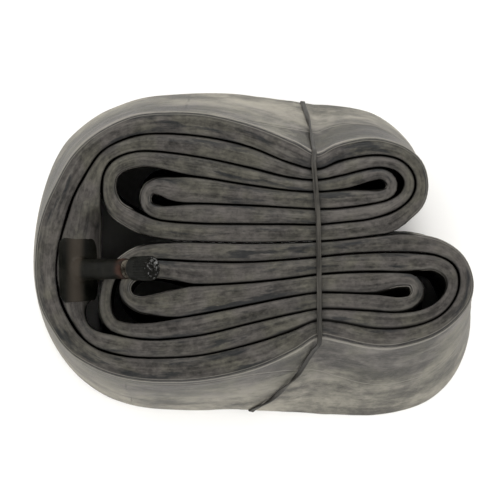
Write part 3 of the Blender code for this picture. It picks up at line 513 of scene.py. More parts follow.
def roll(fold, i, place, depth_here, depth_all):
    """Tips the inner edge towards +X under the boot."""
    fade = 1.0 - np.clip((depth_here - ROLL_FROM) / (depth_all - ROLL_FROM - ROLL_TO), 0.0, 1.0)
    fall = (place[0] - VALVE_X) * math.tan(VALVE_ROLL) + boot_fall(place[0])
    place[2] -= fall * fold.blend[i] * fade


def edge_spot(fold, i, side, kind, at, lean, lip_painted_light):
    """A point on the inner edge: its place, ways round and down, and the numbers for its looks."""
    half = fold.half["inner", side][i]
    corner = min(CORNER, 0.5 * half)
    if kind == "face":
        width = at * (half - corner)
        down, v = CROWN * at * at, width
        whole, line, swell = 0.0, 0.0, 1.0
    else:
        width = half - corner + corner * math.sin(at)
        down, v = CROWN + corner * (1 - math.cos(at)), half - corner + corner * at
        whole, swell = smooth_step(at / (math.pi / 2)), 0.5
        # Negative at the corner's top for a painted highlight, positive lower down for painted shade.
        line = lip_painted_light * min(3.4 * whole - 0.8, 1.0)
    v *= side
    flute = FLUTES[0] * periodic_noise(fold, i, v, 55.0, 1.9, 3.0)
    flute += FLUTES[1] * periodic_noise(fold, i, v, 25.0, 4.0, 9.0)
    crease = periodic_noise(fold, i, v, 2.2, 3.0, 5.0) * min(abs(fold.bend[i]) / CREASE_BEND, 1.0)
    crease *= CREASES[0] * (width / half) if fold.bend[i] * side > 0 else CREASES[1]
    place = np.array([*fold.inner[i], fold.height[i]])
    place[:2] += fold.normals["inner"][i] * side * width
    place[:2] += lean * down
    place[2] -= down
    place[2] += (flute + crease) * swell
    return place, v, down, whole, line, width / half


def wall_spot(fold, i, side, depth, down, out, free, lip_painted_light):
    """The same for a point on a wall, with its dents and the mould's lines."""
    v = side * (fold.half["inner", side][i] + down)
    dent = DENTS[0] * (periodic_noise(fold, i, v, 30.0, 14.0, 1.0) - 0.6)
    dent += DENTS[1] * (periodic_noise(fold, i, v, 8.0, 5.0, 2.0) - 0.4)
    dent *= min(1.0, (down - CORNER) / 6.0) * min(1.0, (depth - down) / 14.0)
    bump = out * free if out > 0 else out
    # Grooves get painted shade (1), ridges a painted highlight (negative).
    line = 1.0 if out < -0.2 else -lip_painted_light * min(out / 0.4, 1.0)
    share = min(down / depth, 1.0)
    return wall_place(fold, i, side, share, dent + bump), v, down, 1.0, line, 1.0 + share


def foot_spot(fold, i, side, depth, kind, at):
    """The same for a point on the outer edge: round its corner, or on the floor."""
    half = fold.half["outer", side][i]
    if kind == "foot":
        down = depth - OUTER_CORNER * (1 - math.sin(at))
        past, inward = 0.0, min(OUTER_CORNER, 0.5 * half) * (1 - math.cos(at))
    else:
        down = depth
        past, inward = 2.0, half * (1.0 - 0.45 * at)
    v = side * (fold.half["inner", side][i] + down + past)
    place = wall_place(fold, i, side, min(down / depth, 1.0), -inward)
    return place, v, down, 1.0, 0.0, 2.0


def make_tube(fold, look):
    """The tube: rings of points across it, once round the fold."""
    rows, depth = section_rows(fold)
    order = [(1, row) for row in rows] + [(-1, row) for row in rows[:0:-1]]
    free = {side: soft_share(fold.room["inner", side], ROOM_LIP) for side in (1, -1)}
    outside = {side: soft_share(fold.room["outer", side], ROOM_OUTSIDE) for side in (1, -1)}
    radius = fold.total / (2 * math.pi)
    top_x = np.array(BAND_TOP_X[::-1])
    points, flow, place_in, lines = [], [], [], []
    for i in range(fold.count):
        lean = (fold.outer[i] - fold.inner[i]) / depth[i]
        from_band = abs(fold.inner[i, 0] - np.interp(fold.inner[i, 1], top_x[:, 0], top_x[:, 1]))
        toward = 1 if fold.inner[i, 1] > 0 else -1
        for side, (kind, at, out) in order:
            lip_painted_light = free[side][i] * (HOLLOW_LIP + (1.0 - HOLLOW_LIP) * outside[side][i])
            if kind in ("face", "corner"):
                spot = edge_spot(fold, i, side, kind, at, lean, lip_painted_light)
            elif kind == "wall":
                spot = wall_spot(fold, i, side, depth[i], at[i] + CROWN, out, free[side][i], lip_painted_light)
            else:
                spot = foot_spot(fold, i, side, depth[i], kind, at)
            place, v, down, whole, line, rim = spot
            roll(fold, i, place, down, depth[i])
            place[2] = max(place[2], 0.0)
            points.append(place)
            flow.append(around(radius, fold.turn[i], v) * MM)
            place_in.append((whole, whole * outside[side][i], rim))
            from_splice = min([abs(place[0] - x) for x, y in SPLICES if y == toward] + [9.0])
            lines.append((line, from_splice, from_band))
    faces = skin(fold.count, len(order))
    tube = add_piece("tube", points, faces, look, "tube", "tube_body", None)
    add_values(tube, "flow", flow)
    # place_in: on a wall (walls between layers get painted near-black shade), on an outside wall, and
    # how far across the face or down the wall.
    add_values(tube, "place_in", place_in)
    # lines: the mould lines' painted highlight and shade, distance from the splice marks, and distance
    # from the band.
    add_values(tube, "lines", lines)


# ---- making the valve ----
def stem_frame():
    """The matrix that puts local Z along the stem and the origin at its foot, in millimetres."""
    flat = math.cos(STEM_RISE)
    along = Vector((flat * math.cos(STEM_YAW), flat * math.sin(STEM_YAW), math.sin(STEM_RISE)))
    across = Vector((0.0, 1.0, 0.0)).cross(along).normalized()
    turn = Matrix((across, along.cross(across), along)).transposed()
    normal = Vector((math.sin(VALVE_ROLL), 0.0, math.cos(VALVE_ROLL)))
    foot = Vector((VALVE_X, VALVE_Y, FLAT_WIDTH - VALVE_DIP)) + normal * BOOT_GAP
    return Matrix.Translation(foot) @ turn.to_4x4()


def ring_angles(sides):
    return [2 * math.pi * k / sides for k in range(sides)]


def circle(radius, along, sides):
    return [around(radius, a, along) for a in ring_angles(sides)]


def loft(name, rings, look, body, stands_for, smooth_angle=40.0):
    """A closed body from rings of equal length, the last one joined to the first."""
    faces = skin(len(rings), len(rings[0]))
    points = [point for ring in rings for point in ring]
    return add_piece(name, points, faces, look, body, stands_for, smooth_angle)


def boot_outline(height, half_long, half_wide, power):
    """A ring of the boot in the stem's frame: level with its pad at the foot, square above."""
    tilt = (math.pi / 2 - STEM_RISE - VALVE_ROLL) * (1.0 - float(smooth_step(height / BOOT_SQUARE)))
    ring = []
    for a in ring_angles(BOOT_SIDES):
        c, s = math.cos(a), math.sin(a)
        wide = half_wide * math.copysign(abs(c) ** (2 / power), c)
        long = half_long * math.copysign(abs(s) ** (2 / power), s)
        wobble = 1.0 + 0.03 * wave(2.2 * c, 2.2 * s, 0.3 * height)
        ring.append(Vector((wide * wobble * math.cos(tilt), long * wobble,
                            height + wide * math.sin(tilt))))
    return ring


# The boot's outside: height along the stem, half length along the tube, half width, squareness.
BOOT_RINGS = (
    (-1.20, 13.3, 8.0, 7.0), (-0.70, 13.5, 8.4, 7.0), (-0.45, 13.4, 8.3, 6.6),
    (-0.28, 13.0, 8.0, 6.2), (-0.12, 12.3, 7.6, 5.6), (0.06, 11.2, 7.0, 4.6),
    (0.20, 9.8, 6.4, 3.8), (0.32, 8.4, 5.9, 3.0), (0.44, 7.2, 5.5, 2.5), (0.60, 6.3, 5.2, 2.2),
    (0.85, 5.6, 4.98, 2.0), (1.30, 5.1, 4.78, 2.0), (2.10, 4.75, 4.62, 2.0),
    (3.40, 4.52, 4.50, 2.0), (6.00, 4.40, 4.40, 2.0), (10.0, 4.32, 4.34, 2.0),
    (14.0, 4.30, 4.30, 2.0), (18.0, 4.22, 4.24, 2.0),
    (22.0, 4.20, 4.20, 2.0), (25.4, 4.14, 4.16, 2.0), (25.9, 4.28, 4.28, 2.0),
    (27.4, 4.32, 4.32, 2.0), (28.0, 4.22, 4.22, 2.0), (28.3, 3.95, 3.95, 2.0),
)


def make_boot(look):
    """The rubber boot: a pad on the tube and a sleeve over the stem, with a bore through both."""
    place = stem_frame()
    rings = []
    for height, half_long, half_wide, power in BOOT_RINGS:
        ring = [place @ p for p in boot_outline(height, half_long, half_wide, power)]
        follow = 1.0 - float(smooth_step(height / PAD_TOP))
        for point in ring:
            point.z -= boot_fall(point.x) * follow
        rings.append(ring)
    bore = ((3.45, BOOT_END), (3.45, 4.7), (4.0, 4.7), (4.0, 3.1), (2.4, 3.1))
    rings += [[place @ p for p in circle(r, w, BOOT_SIDES)] for r, w in bore]
    rings.append([place @ p for p in boot_outline(0.0, 2.4, 2.4, 2.0)])
    boot = loft("boot", rings, look, "tube", "valve_boot", 60.0)
    heights = [w for w, *_ in BOOT_RINGS] + [w for _, w in bore] + [0.0]
    add_values(boot, "along", [(w, point.x - VALVE_X, point.y - VALVE_Y)
                               for w, ring in zip(heights, rings) for point in ring])
    return boot


def thread_ring(along):
    """A ring of a screw thread: its radius falls and rises once round, and once each pitch."""
    ring = []
    for k, a in enumerate(ring_angles(STEM_SIDES)):
        phase = (along / THREAD_PITCH - k / STEM_SIDES) % 1.0
        r = STEM_THREAD_RADIUS - THREAD_DEPTH * float(smooth_step(abs(2.0 * phase - 1.0) * 1.25 - 0.12))
        ring.append(around(r, a, along))
    return ring


def make_stem(look):
    """The metal stem: a flanged foot, a plain barrel in the boot and a threaded tip."""
    place = stem_frame()
    start, end = BOOT_END - 0.6, STEM_TIP - 0.5
    rows = round((end - start) / (THREAD_PITCH / THREAD_ROWS))
    rings = [circle(r, w, STEM_SIDES) for r, w in
             ((3.7, STEM_FOOT), (3.7, 4.4), (3.1, 4.4), (3.1, start - 0.4), (3.4, start - 0.1))]
    for k in range(rows + 1):
        rings.append(thread_ring(start + (end - start) * k / rows))
    rings += [circle(r, w, STEM_SIDES) for r, w in
              ((3.25, STEM_TIP - 0.1), (3.1, STEM_TIP), (2.6, STEM_TIP), (2.45, STEM_TIP - 0.2),
               (2.45, 31.0), (2.1, 29.9), (2.1, 18.0), (1.6, 17.5), (1.6, STEM_FOOT))]
    rings = [[place @ p for p in ring] for ring in rings]
    loft("stem", rings, look, "tube", "stem_insert", 35.0)


def spring_ring(k):
    """One ring of points round the spring's wire."""
    start, end = SPRING_ENDS
    slope = math.atan2((end - start) / SPRING_TURNS, 2 * math.pi * SPRING_RADIUS)
    a = 2 * math.pi * k / SPRING_STEPS
    out = around(1.0, a, 0.0)
    side = Vector((math.sin(a) * math.sin(slope), -math.cos(a) * math.sin(slope), math.cos(slope)))
    along = start + (end - start) * k / (SPRING_TURNS * SPRING_STEPS)
    middle = out * SPRING_RADIUS + Vector((0.0, 0.0, along))
    return [middle + (out * math.cos(t) + side * math.sin(t)) * WIRE_RADIUS
            for t in ring_angles(WIRE_SIDES)]


def make_spring(look):
    """The core's spring, a coil of wire along the stem."""
    place = stem_frame()
    rings = [spring_ring(k) for k in range(SPRING_TURNS * SPRING_STEPS + 1)]
    points = [place @ point for ring in rings for point in ring]
    faces = skin(len(rings), WIRE_SIDES, closed=False)
    faces.append(tuple(range(WIRE_SIDES))[::-1])
    faces.append(tuple(len(points) - WIRE_SIDES + j for j in range(WIRE_SIDES)))
    spring = add_piece("spring", points, faces, look, "tube", "core_spring")
    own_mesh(spring)


def rib_ring(radius, along, depth, sides):
    """A ring of the cap's grip, with round ribs."""
    ring = []
    for a in ring_angles(sides):
        rib = math.cos(a * CAP_RIBS)
        r = radius - depth * (0.5 - 0.5 * math.copysign(abs(rib) ** 0.6, rib))
        ring.append(around(r, a, along))
    return ring


def make_cap(look):
    """The plastic valve cap: a plain skirt, a ribbed grip and a dished end with a notched rim."""
    sides = CAP_RIBS * 8
    place = stem_frame()
    grip = CAP_MOUTH + 4.3
    end = CAP_END
    outside = ((4.55, CAP_MOUTH, 0.0), (4.75, CAP_MOUTH + 0.08, 0.0), (4.88, CAP_MOUTH + 0.3, 0.0),
               (4.92, CAP_MOUTH + 1.2, 0.0), (4.90, grip - 0.25, 0.0), (4.94, grip - 0.05, 0.05),
               (5.00, grip + 0.15, 0.26), (5.00, grip + 0.5, 0.30), (5.00, end - 1.1, 0.30),
               (4.97, end - 0.55, 0.30), (4.86, end - 0.25, 0.32), (4.68, end - 0.05, 0.34),
               (4.45, end, 0.30), (4.15, end, 0.18), (3.95, end - 0.05, 0.0),
               (3.78, end - 0.25, 0.0), (3.70, end - 0.7, 0.0), (3.55, end - 0.82, 0.0),
               (3.0, end - 0.85, 0.0))
    rings = [rib_ring(r, w, d, sides) for r, w, d in outside]
    rings += [dish_ring(r, end - 0.85, sides) for r in (2.7, 2.4, 2.1, 1.8, 1.5, 1.2, 0.9, 0.6)]
    points = [place @ p for ring in rings for p in ring]
    faces = skin(len(rings), sides, closed=False)
    tip = len(points)
    points.append(place @ Vector((0.0, 0.0, end - 0.75)))
    last = (len(rings) - 1) * sides
    faces += [(last + k, last + (k + 1) % sides, tip) for k in range(sides)]
    inside = len(points)
    bore = ((4.38, CAP_MOUTH + 0.05), (CAP_BORE, CAP_MOUTH + 0.3), (CAP_BORE, CAP_END - 1.8),
            (3.9, CAP_END - 1.7))
    for r, w in bore:
        points += [place @ p for p in circle(r, w, sides)]
    faces += ring_faces(inside, 0, sides)
    for i in range(len(bore) - 1):
        faces += ring_faces(inside + (i + 1) * sides, inside + i * sides, sides)
    ceiling = len(points)
    points.append(place @ Vector((0.0, 0.0, CAP_END - 1.7)))
    last = inside + (len(bore) - 1) * sides
    faces += [(last + (k + 1) % sides, last + k, ceiling) for k in range(sides)]
    cap = add_piece("cap", points, faces, look, "cap", "valve_cap", 50.0)
    dish = [float(k >= DISH_FROM * sides and k < inside) for k in range(len(points))]
    add_values(cap, "dish", dish)


def dish_ring(radius, along, sides):
    """A ring of the dished end, with the gate mark and low ribs of a moulding."""
    ring = []
    for a in ring_angles(sides):
        spoke = max(0.0, math.cos(3 * a + 0.4)) ** 6
        rise = 0.34 * spoke * float(smooth_step((2.9 - radius) / 0.5))
        rise += 0.30 * float(smooth_step((1.1 - radius) / 0.3))
        rise += 0.05 * noise.noise(around(radius, a, 3.0))
        ring.append(around(radius, a, along + rise))
    return ring


# ---- making the rubber band ----
def outside_stations(fold, layer):
    """Stations of the first or last layer between the fold's ends, in order of x."""
    outline = FOLD_LINES[0] if layer == 1 else FOLD_LINES[-1]
    toward = 1.0 if layer == 1 else -1.0
    found = []
    for i, (x, y) in enumerate(fold.inner):
        gap = abs(y - np.interp(x, FOLD_X, outline))
        if abs(x) < OUTSIDE_MOST_X and y * toward > OUTSIDE_LEAST_Y and gap < OUTSIDE_DEPTH:
            found.append(i)
    return sorted(found, key=lambda i: fold.inner[i, 0])


def wall_points(fold, stations, top_x, foot_x):
    """Points down the bundle's outside wall, and the wall's direction outwards at each."""
    toward = 1.0 if fold.inner[stations[0], 1] > 0 else -1.0
    side = 1 if fold.normals["inner"][stations[0], 1] * toward > 0 else -1
    across = fold.inner[stations, 0]

    def at(x, share):
        rows = np.array([wall_place(fold, i, side, share, 0.0) for i in stations])
        return Vector([float(np.interp(x, across, rows[:, k])) for k in range(3)])

    found = []
    for share in BAND_SHARES:
        x = top_x + (foot_x - top_x) * share
        middle = at(x, share)
        along = at(x + 1.5, share) - at(x - 1.5, share)
        down = at(x, min(share + 0.03, 1.0)) - at(x, share - 0.03)
        out = along.cross(down).normalized()
        found.append((middle, out * math.copysign(1.0, out.y * toward)))
    return found


def band_route(fold):
    """The band's way round the bundle: points on the tube, outward directions and twists."""
    top_y = [row[0] for row in BAND_TOP_X][::-1]
    top_x = [row[1] for row in BAND_TOP_X][::-1]
    waist = [np.interp(WAIST_X, FOLD_X, line) for line in FOLD_LINES]
    up = Vector((0.0, 0.0, 1.0))
    route = []
    for a, b in zip(waist, waist[1:]):
        y = (a + b) / 2
        x = float(np.interp(y, top_y, top_x))
        near = int(np.argmin(np.hypot(fold.inner[:, 0] - x, fold.inner[:, 1] - y)))
        route.append((Vector((x, y, fold.height[near] + 0.1)), up, 0.0))
    walls = []
    for layer, start, foot, turns in ((12, BAND_TOP_X[-1][1], BAND_NEAR_FOOT_X, 2.0),
                                      (1, BAND_TOP_X[0][1], BAND_FAR_FOOT_X, -1.0)):
        toward = 1.0 if layer == 1 else -1.0
        stations = outside_stations(fold, layer)
        found = wall_points(fold, stations, start, foot)
        wall = []
        for share, (middle, out) in zip(BAND_SHARES, found):
            wall.append((middle, out, turns * math.pi * float(smooth_step(share * 1.15 - 0.1))))
        foot_end = found[-1][0]
        under = Vector((foot_end.x, foot_end.y - BAND_INWARD * toward, GROOVE_DEPTH - 0.15))
        wall.append((under, -up, turns * math.pi))
        walls.append(wall)
    route += walls[0]
    return route + walls[1][::-1]


def band_section(width, thick):
    """The band's rounded section, as offsets across it and out of the tube."""
    w, t, r = width / 2, thick / 2, 0.18
    return ((w, t - r), (w - r, t), (0.3, t - 0.07), (-0.3, t - 0.07), (-w + r, t), (-w, t - r),
            (-w, -t + r), (-w + r, -t), (w - r, -t), (w, -t + r))


def make_band(fold, look):
    """The tie: a flat rubber band, a closed loop that turns over on its way down the walls."""
    route = band_route(fold)
    count = len(route)
    rows = []
    for middle, out, twist in route:
        stand = abs(math.cos(twist)) * BAND_THICK / 2 + abs(math.sin(twist)) * BAND_WIDTH / 2
        rows.append((*(middle + out * (stand + 0.05)), *out, twist))
    rows = np.array(rows)
    fine = []
    for i in range(count):
        p = [rows[(i + k) % count].copy() for k in (-1, 0, 1, 2)]
        for before, after in zip(p, p[1:]):
            if abs(after[6] - before[6]) > 0.9 * math.pi:
                after[6] = before[6]
        fine += spline_piece(p, 3, BAND_STEP)
    fine = np.array(fine)
    points, flow = [], []
    size = len(band_section(1.0, 1.0))
    for k, row in enumerate(fine):
        ahead = Vector(fine[(k + 1) % len(fine)][:3] - fine[k - 1][:3]).normalized()
        out = Vector(row[3:6])
        across = ahead.cross(out).normalized()
        out = across.cross(ahead).normalized()
        spin = Matrix.Rotation(row[6], 3, ahead)
        across, out = spin @ across, spin @ out
        middle = Vector(row[:3])
        vary = 1.0 + 0.05 * noise.noise(middle * 0.12)
        for w, t in band_section(BAND_WIDTH * vary, BAND_THICK):
            point = middle + across * w + out * t
            point.z = max(point.z, 0.05)
            points.append(point)
            flow.append((k * BAND_STEP * MM, w * MM, t * MM))
    faces = skin(len(fine), size)
    band = add_piece("band", points, faces, look, "tube", "tie_band", 50.0)
    add_values(band, "flow", flow)


# ---- making materials ----
def feed(tree, socket, value):
    """Links a node's output to a socket, or gives the socket a value or a colour of its own."""
    if isinstance(value, bpy.types.NodeSocket):
        tree.links.new(value, socket)
    elif socket.type == "RGBA":
        socket.default_value = (*value, 1.0)
    else:
        socket.default_value = value


def add_node(tree, kind, inputs=(), **settings):
    made = tree.nodes.new("ShaderNode" + kind)
    for name, value in settings.items():
        setattr(made, name, value)
    for name, value in inputs:
        feed(tree, made.inputs[name], value)
    return made


def soft_range(tree, value, low, high, to_low, to_high):
    """A number that goes smoothly from to_low to to_high while value goes from low to high."""
    inputs = [("Value", value), ("From Min", low), ("From Max", high), ("To Min", to_low),
              ("To Max", to_high)]
    made = add_node(tree, "MapRange", inputs, interpolation_type="SMOOTHSTEP")
    return made.outputs["Result"]


class Look:
    """A Principled material that is put together from noise nodes."""

    def __init__(self, name, colour, roughness, metallic=0.0):
        self.material = bpy.data.materials.new(name)
        self.material.use_nodes = True
        self.tree = self.material.node_tree
        self.shader = self.tree.nodes["Principled BSDF"]
        for name, value in (("Base Color", colour), ("Roughness", roughness), ("Metallic", metallic)):
            self.set(name, value)

    def node(self, kind, inputs=(), **settings):
        return add_node(self.tree, kind, inputs, **settings)

    def attribute(self, name):
        return self.node("Attribute", attribute_name=name).outputs["Vector"]

    def parts(self, name):
        """The three numbers of a mesh's attribute."""
        return self.node("SeparateXYZ", [(0, self.attribute(name))]).outputs

    def flow(self, scale):
        """Coordinates along, round and across the piece, scaled."""
        return self.scaled(self.attribute("flow"), scale)

    def place(self, scale=(1.0, 1.0, 1.0)):
        """Coordinates of the object itself, scaled."""
        return self.scaled(self.node("TexCoord").outputs["Object"], scale)

    def scaled(self, vector, scale):
        return self.node("Mapping", [("Vector", vector), ("Scale", scale)]).outputs["Vector"]

    def noise(self, vector, scale, detail=4.0, rough=0.55, low=0.35, high=0.65, w=None):
        inputs = [("Vector", vector), ("Scale", scale), ("Detail", detail), ("Roughness", rough)]
        if w is not None:
            inputs.append(("W", w))
        made = self.node("TexNoise", inputs, noise_dimensions="3D" if w is None else "4D")
        return self.range(made.outputs["Fac"], low, high)

    def range(self, value, low, high, to_low=0.0, to_high=1.0):
        return soft_range(self.tree, value, low, high, to_low, to_high)

    def math(self, kind, first, second):
        return self.node("Math", [(0, first), (1, second)], operation=kind).outputs["Value"]

    def times(self, first, second):
        return self.math("MULTIPLY", first, second)

    def mix(self, share, first, second):
        """A colour between two, each a colour or another mix."""
        made = self.node("Mix", [(0, share), (6, first), (7, second)], data_type="RGBA")
        return made.outputs[2]

    def bump(self, height, strength, distance, before=None):
        inputs = [("Height", height), ("Strength", strength), ("Distance", distance)]
        if before is not None:
            inputs.append(("Normal", before))
        return self.node("Bump", inputs).outputs["Normal"]

    def set(self, name, value):
        feed(self.tree, self.shader.inputs[name], value)


def tube_look():
    """Butyl rubber: streaked grey edges with dark blotches and painted shade by the gaps and the band,
    painted near-black shade on the walls between the layers, painted highlights and shade along the
    mould's lines, dusty outside.
    """
    look = Look("tube_rubber", (0.03, 0.028, 0.025), 0.5)
    wall, outside, rim = look.parts("place_in")
    line, from_splice, from_band = look.parts("lines")
    everywhere = look.place()
    streaks = look.noise(look.flow((26.0, 26.0, 560.0)), 1.0, 5.0, 0.62, 0.34, 0.66)
    mottle = look.noise(everywhere, 210.0, 6.0, 0.66, 0.36, 0.66)
    speck = look.noise(look.flow((500.0, 500.0, 900.0)), 1.0, 4.0, 0.6, 0.36, 0.68)
    tint = look.noise(everywhere, 62.0, 2.0, 0.5, 0.40, 0.60)
    blotch = look.noise(look.flow((30.0, 30.0, 170.0)), 1.3, 5.0, 0.62, 0.53, 0.63, w=4.0)
    smudge = look.noise(look.flow((38.0, 38.0, 190.0)), 1.5, 6.0, 0.68, 0.50, 0.70, w=9.0)
    grain = look.noise(everywhere, 2600.0, 2.0, 0.5, 0.3, 0.7)

    tone = look.math("ADD", look.times(streaks, 0.40), look.times(mottle, 0.38))
    tone = look.math("ADD", tone, look.times(speck, 0.22))
    light = look.mix(tint, (0.081, 0.0765, 0.0610), (0.078, 0.0705, 0.0655))
    base = look.mix(tone, (0.0085, 0.0080, 0.0070), light)
    base = look.mix(look.times(smudge, 0.50), base, (0.110, 0.104, 0.093))
    # Painted shade: the edge face darker from its sides outwards, by the gaps between the layers.
    painted_edge_shade = look.times(look.range(rim, 0.62, 0.98), look.range(mottle, 0.2, 0.9, 0.10, 0.55))
    base = look.mix(painted_edge_shade, base, (0.0085, 0.0080, 0.0072))
    base = look.mix(look.times(blotch, 0.85), base, (0.0052, 0.0064, 0.0078))
    # Painted shade on the edge faces either side of the band.
    beside = look.times(look.range(from_band, 5.0, 1.2), look.range(mottle, 0.2, 0.8))
    base = look.mix(look.times(beside, 0.6), base, (0.008, 0.0078, 0.0074))
    # Painted shade: the walls between the layers made near black; the outside walls get dust over it
    # below.
    base = look.mix(look.times(wall, 0.95), base, (0.0026, 0.0025, 0.0023))

    dusty = look.noise(look.flow((19.0, 19.0, 42.0)), 1.0, 6.0, 0.64, 0.36, 0.66, w=2.0)
    dusty = look.math("ADD", look.times(dusty, 0.62), look.times(mottle, 0.24))
    dusty = look.math("ADD", dusty, look.times(streaks, 0.14))
    powder = look.mix(tint, (0.158, 0.151, 0.128), (0.152, 0.142, 0.131))
    powder = look.mix(look.range(rim, 1.25, 1.95), powder, (0.245, 0.232, 0.196))
    dust = look.times(outside, look.range(dusty, 0.0, 1.0, 0.14, 1.0))
    base = look.mix(dust, base, powder)
    splice = look.times(outside, look.range(from_splice, 0.9, 0.2, 0.0, 0.55))
    base = look.mix(splice, base, (0.016, 0.015, 0.013))
    # Painted highlight: lighter on the mould lines' ridges and at the corners' tops.
    lip_painted_light = look.range(look.times(line, -1.0), 0.12, 0.45, 0.0, 0.56)
    base = look.mix(lip_painted_light, base, (0.215, 0.205, 0.180))
    # Painted shade in the mould lines' grooves, with dirt.
    groove_shade_and_dirt = look.times(look.range(line, 0.25, 0.85), look.range(mottle, 0.1, 0.7, 0.6, 0.95))
    base = look.mix(groove_shade_and_dirt, base, (0.0035, 0.0032, 0.0030))
    look.set("Base Color", base)
    rough = look.math("ADD", look.range(tone, 0.0, 1.0, 0.42, 0.60), look.times(dust, 0.2))
    look.set("Roughness", rough)
    between = look.math("SUBTRACT", wall, outside)
    look.set("Specular IOR Level", look.range(between, 0.0, 1.0, 0.22, 0.04))
    fine = look.noise(look.flow((60.0, 60.0, 1500.0)), 1.0, 3.0, 0.6, 0.3, 0.7)
    normal = look.bump(fine, 0.35, 0.0002)
    normal = look.bump(mottle, 0.25, 0.0004, normal)
    normal = look.bump(grain, 0.12, 0.00008, normal)
    look.set("Normal", normal)
    return look.material


def boot_look():
    """Black moulded rubber with a painted brown sheen down the pad's middle and a rubbed brown end on
    the sleeve.
    """
    look = Look("boot_rubber", (0.006, 0.006, 0.005), 0.42)
    height, across, _ = look.parts("along")
    cloud = look.noise(look.place(), 160.0, 5.0, 0.6, 0.36, 0.66)
    ash = look.noise(look.place((1.0, 0.35, 1.0)), 420.0, 6.0, 0.66, 0.48, 0.75)
    base = look.mix(cloud, (0.0018, 0.0020, 0.0014), (0.0046, 0.0046, 0.0034))
    # Painted sheen: a brown highlight in a band down the pad's middle, up the sleeve too.
    middle = look.times(look.range(across, -5.5, -1.0), look.range(across, 3.2, 0.2))
    base = look.mix(look.times(middle, 0.75), base, (0.040, 0.033, 0.026))
    base = look.mix(look.times(ash, 0.12), base, (0.050, 0.046, 0.039))
    rubbed = look.times(look.range(height, 23.5, 27.0), look.range(cloud, 0.1, 0.9, 0.3, 0.9))
    base = look.mix(rubbed, base, (0.030, 0.014, 0.010))
    look.set("Base Color", base)
    look.set("Specular IOR Level", 0.06)
    look.set("Roughness", look.range(cloud, 0.0, 1.0, 0.34, 0.52))
    grain = look.noise(look.place(), 1800.0, 3.0, 0.6, 0.3, 0.7)
    look.set("Normal", look.bump(grain, 0.18, 0.00012, look.bump(cloud, 0.2, 0.0003)))
    return look.material


def metal_look(name, bright, dull, roughness, scale=500.0):
    """Turned metal, dulled in patches."""
    look = Look(name, bright, roughness, 1.0)
    cloud = look.noise(look.place(), scale, 5.0, 0.62, 0.38, 0.68)
    look.set("Base Color", look.mix(cloud, bright, dull))
    look.set("Roughness", look.range(cloud, 0.0, 1.0, roughness, roughness + 0.22))
    fine = look.noise(look.place(), scale * 8, 2.0, 0.5, 0.3, 0.7)
    look.set("Normal", look.bump(fine, 0.15, 0.00005))
    return look.material


def cap_look():
    """Black moulded plastic, a little scuffed and dusty."""
    look = Look("cap_plastic", (0.006, 0.006, 0.005), 0.36)
    scuff = look.noise(look.place(), 900.0, 6.0, 0.68, 0.50, 0.74)
    cloud = look.noise(look.place(), 220.0, 3.0, 0.5, 0.35, 0.68)
    base = look.mix(cloud, (0.0018, 0.0020, 0.0014), (0.0044, 0.0046, 0.0036))
    base = look.mix(look.times(scuff, 0.09), base, (0.085, 0.082, 0.074))
    look.set("Base Color", base)
    gloss = look.noise(look.place(), 620.0, 3.0, 0.5, 0.50, 0.62)
    gloss = look.times(gloss, look.attribute("dish"))
    look.set("Specular IOR Level", look.range(gloss, 0.0, 1.0, 0.06, 0.9))
    look.set("Roughness", look.range(gloss, 0.0, 1.0, 0.46, 0.16))
    grain = look.noise(look.place(), 2800.0, 3.0, 0.6, 0.3, 0.7)
    look.set("Normal", look.bump(grain, 0.12, 0.00006))
    return look.material


def band_look():
    """Grey rubber band, dusty, with dirt in streaks."""
    look = Look("band_rubber", (0.040, 0.037, 0.032), 0.5)
    streak = look.noise(look.flow((60.0, 900.0, 900.0)), 1.0, 4.0, 0.6, 0.34, 0.68)
    patch = look.noise(look.flow((110.0, 200.0, 200.0)), 1.0, 4.0, 0.6, 0.40, 0.66, w=3.0)
    base = look.mix(streak, (0.012, 0.011, 0.0095), (0.046, 0.043, 0.037))
    base = look.mix(look.times(patch, 0.6), base, (0.010, 0.0095, 0.008))
    look.set("Specular IOR Level", 0.25)
    look.set("Base Color", base)
    look.set("Roughness", look.range(streak, 0.0, 1.0, 0.42, 0.60))
    look.set("Normal", look.bump(streak, 0.3, 0.0002))
    return look.material


def seal_look():
    """Soft black sealing rubber."""
    look = Look("seal_rubber", (0.020, 0.018, 0.016), 0.55)
    cloud = look.noise(look.place(), 700.0, 5.0, 0.6, 0.35, 0.68)
    look.set("Base Color", look.mix(cloud, (0.013, 0.012, 0.011), (0.036, 0.033, 0.029)))
    look.set("Roughness", look.range(cloud, 0.0, 1.0, 0.46, 0.66))
    look.set("Normal", look.bump(cloud, 0.2, 0.0001))
    return look.material


# ---- making the stage ----
def make_stage():
    mesh = bpy.data.meshes.new("floor")
    half = 4.0
    mesh.from_pydata([(-half, -half, 0), (half, -half, 0), (half, half, 0), (-half, half, 0)],
                     [], [(0, 1, 2, 3)])
    floor = bpy.data.objects.new("floor", mesh)
    floor.location.z = -0.0002
    look = Look("floor_paint", (0.93, 0.93, 0.93), 0.8)
    look.set("Specular IOR Level", 0.2)
    mesh.materials.append(look.material)
    show(floor)


def add_light(name, place, aim, size, power):
    light = bpy.data.lights.new(name, "AREA")
    light.shape = "DISK"
    light.size = size
    light.energy = power
    item = bpy.data.objects.new(name, light)
    item.location = place
    item.rotation_euler = (Vector(aim) - Vector(place)).to_track_quat("-Z", "Y").to_euler()
    show(item)


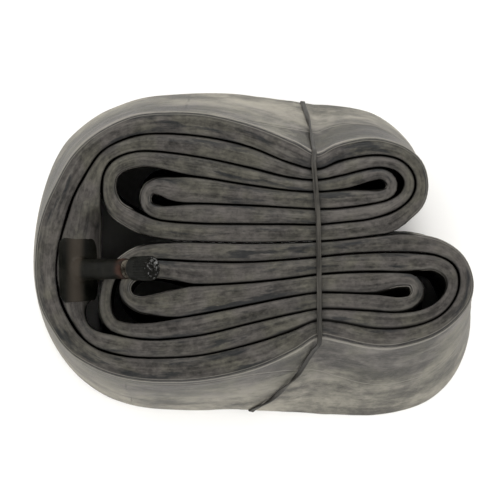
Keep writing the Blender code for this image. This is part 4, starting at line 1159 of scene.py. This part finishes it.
def make_light():
    """A light tent that is bright all round and dark straight overhead, where the camera looks in."""
    world = bpy.data.worlds.new("studio")
    bpy.context.scene.world = world
    world.use_nodes = True
    tree = world.node_tree
    ground = tree.nodes["Background"]
    feed(tree, ground.inputs["Color"], (1.0, 0.985, 0.955))
    direction = add_node(tree, "TexCoord").outputs["Generated"]
    split = add_node(tree, "SeparateXYZ", [(0, direction)])
    opening = soft_range(tree, split.outputs["Z"], TENT_RIM, TENT_HOLE, TENT_BRIGHT, TENT_DARK)
    lean = add_node(tree, "Math", [(0, split.outputs["Y"]), (1, TENT_FAR_SHARE), (2, 1.0)],
                    operation="MULTIPLY_ADD")
    strength = add_node(tree, "Math", [(0, opening), (1, lean.outputs[0])], operation="MULTIPLY")
    feed(tree, ground.inputs["Strength"], strength.outputs[0])
    add_light("far_softbox", (0.1, 1.3, 0.9), (0, 0, 0), 1.0, 8.0)
    add_light("near_softbox", (-0.2, -1.3, 0.8), (0, 0, 0), 1.0, 6.0)
    bpy.context.scene.view_settings.view_transform = "Standard"


def make_camera():
    camera = bpy.data.cameras.new("camera")
    camera.sensor_width = 36.0
    camera.lens = 36.0 * CAMERA_AWAY / CAMERA_FIELD
    item = bpy.data.objects.new("camera", camera)
    item.location = Vector((CAMERA_X, CAMERA_Y, FLAT_WIDTH + CAMERA_AWAY)) * MM
    show(item)
    bpy.context.scene.camera = item


def dress_core(steel):
    """Better materials for the CAD nodes inside the stem and the cap."""
    brass = metal_look("core_brass", (0.55, 0.44, 0.24), (0.26, 0.20, 0.12), 0.26)
    seal = seal_look()
    looks = {"core_plug": brass, "core_barrel": brass, "core_cup": brass, "core_pin": steel,
             "core_barrel_seal": seal, "cup_gasket": seal, "cap_gasket": seal}
    for name, look in looks.items():
        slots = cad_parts[name].material_slots
        for one in slots:
            one.material = look


make_camera()
make_stage()
make_light()
fold = Fold()
make_tube(fold, tube_look())
make_boot(boot_look())
make_stem(metal_look("stem_brass", (0.075, 0.068, 0.055), (0.012, 0.010, 0.008), 0.28, 700.0))
make_cap(cap_look())
make_band(fold, band_look())
steel = metal_look("core_steel", (0.60, 0.59, 0.56), (0.33, 0.31, 0.28), 0.22)
make_spring(steel)
dress_core(steel)
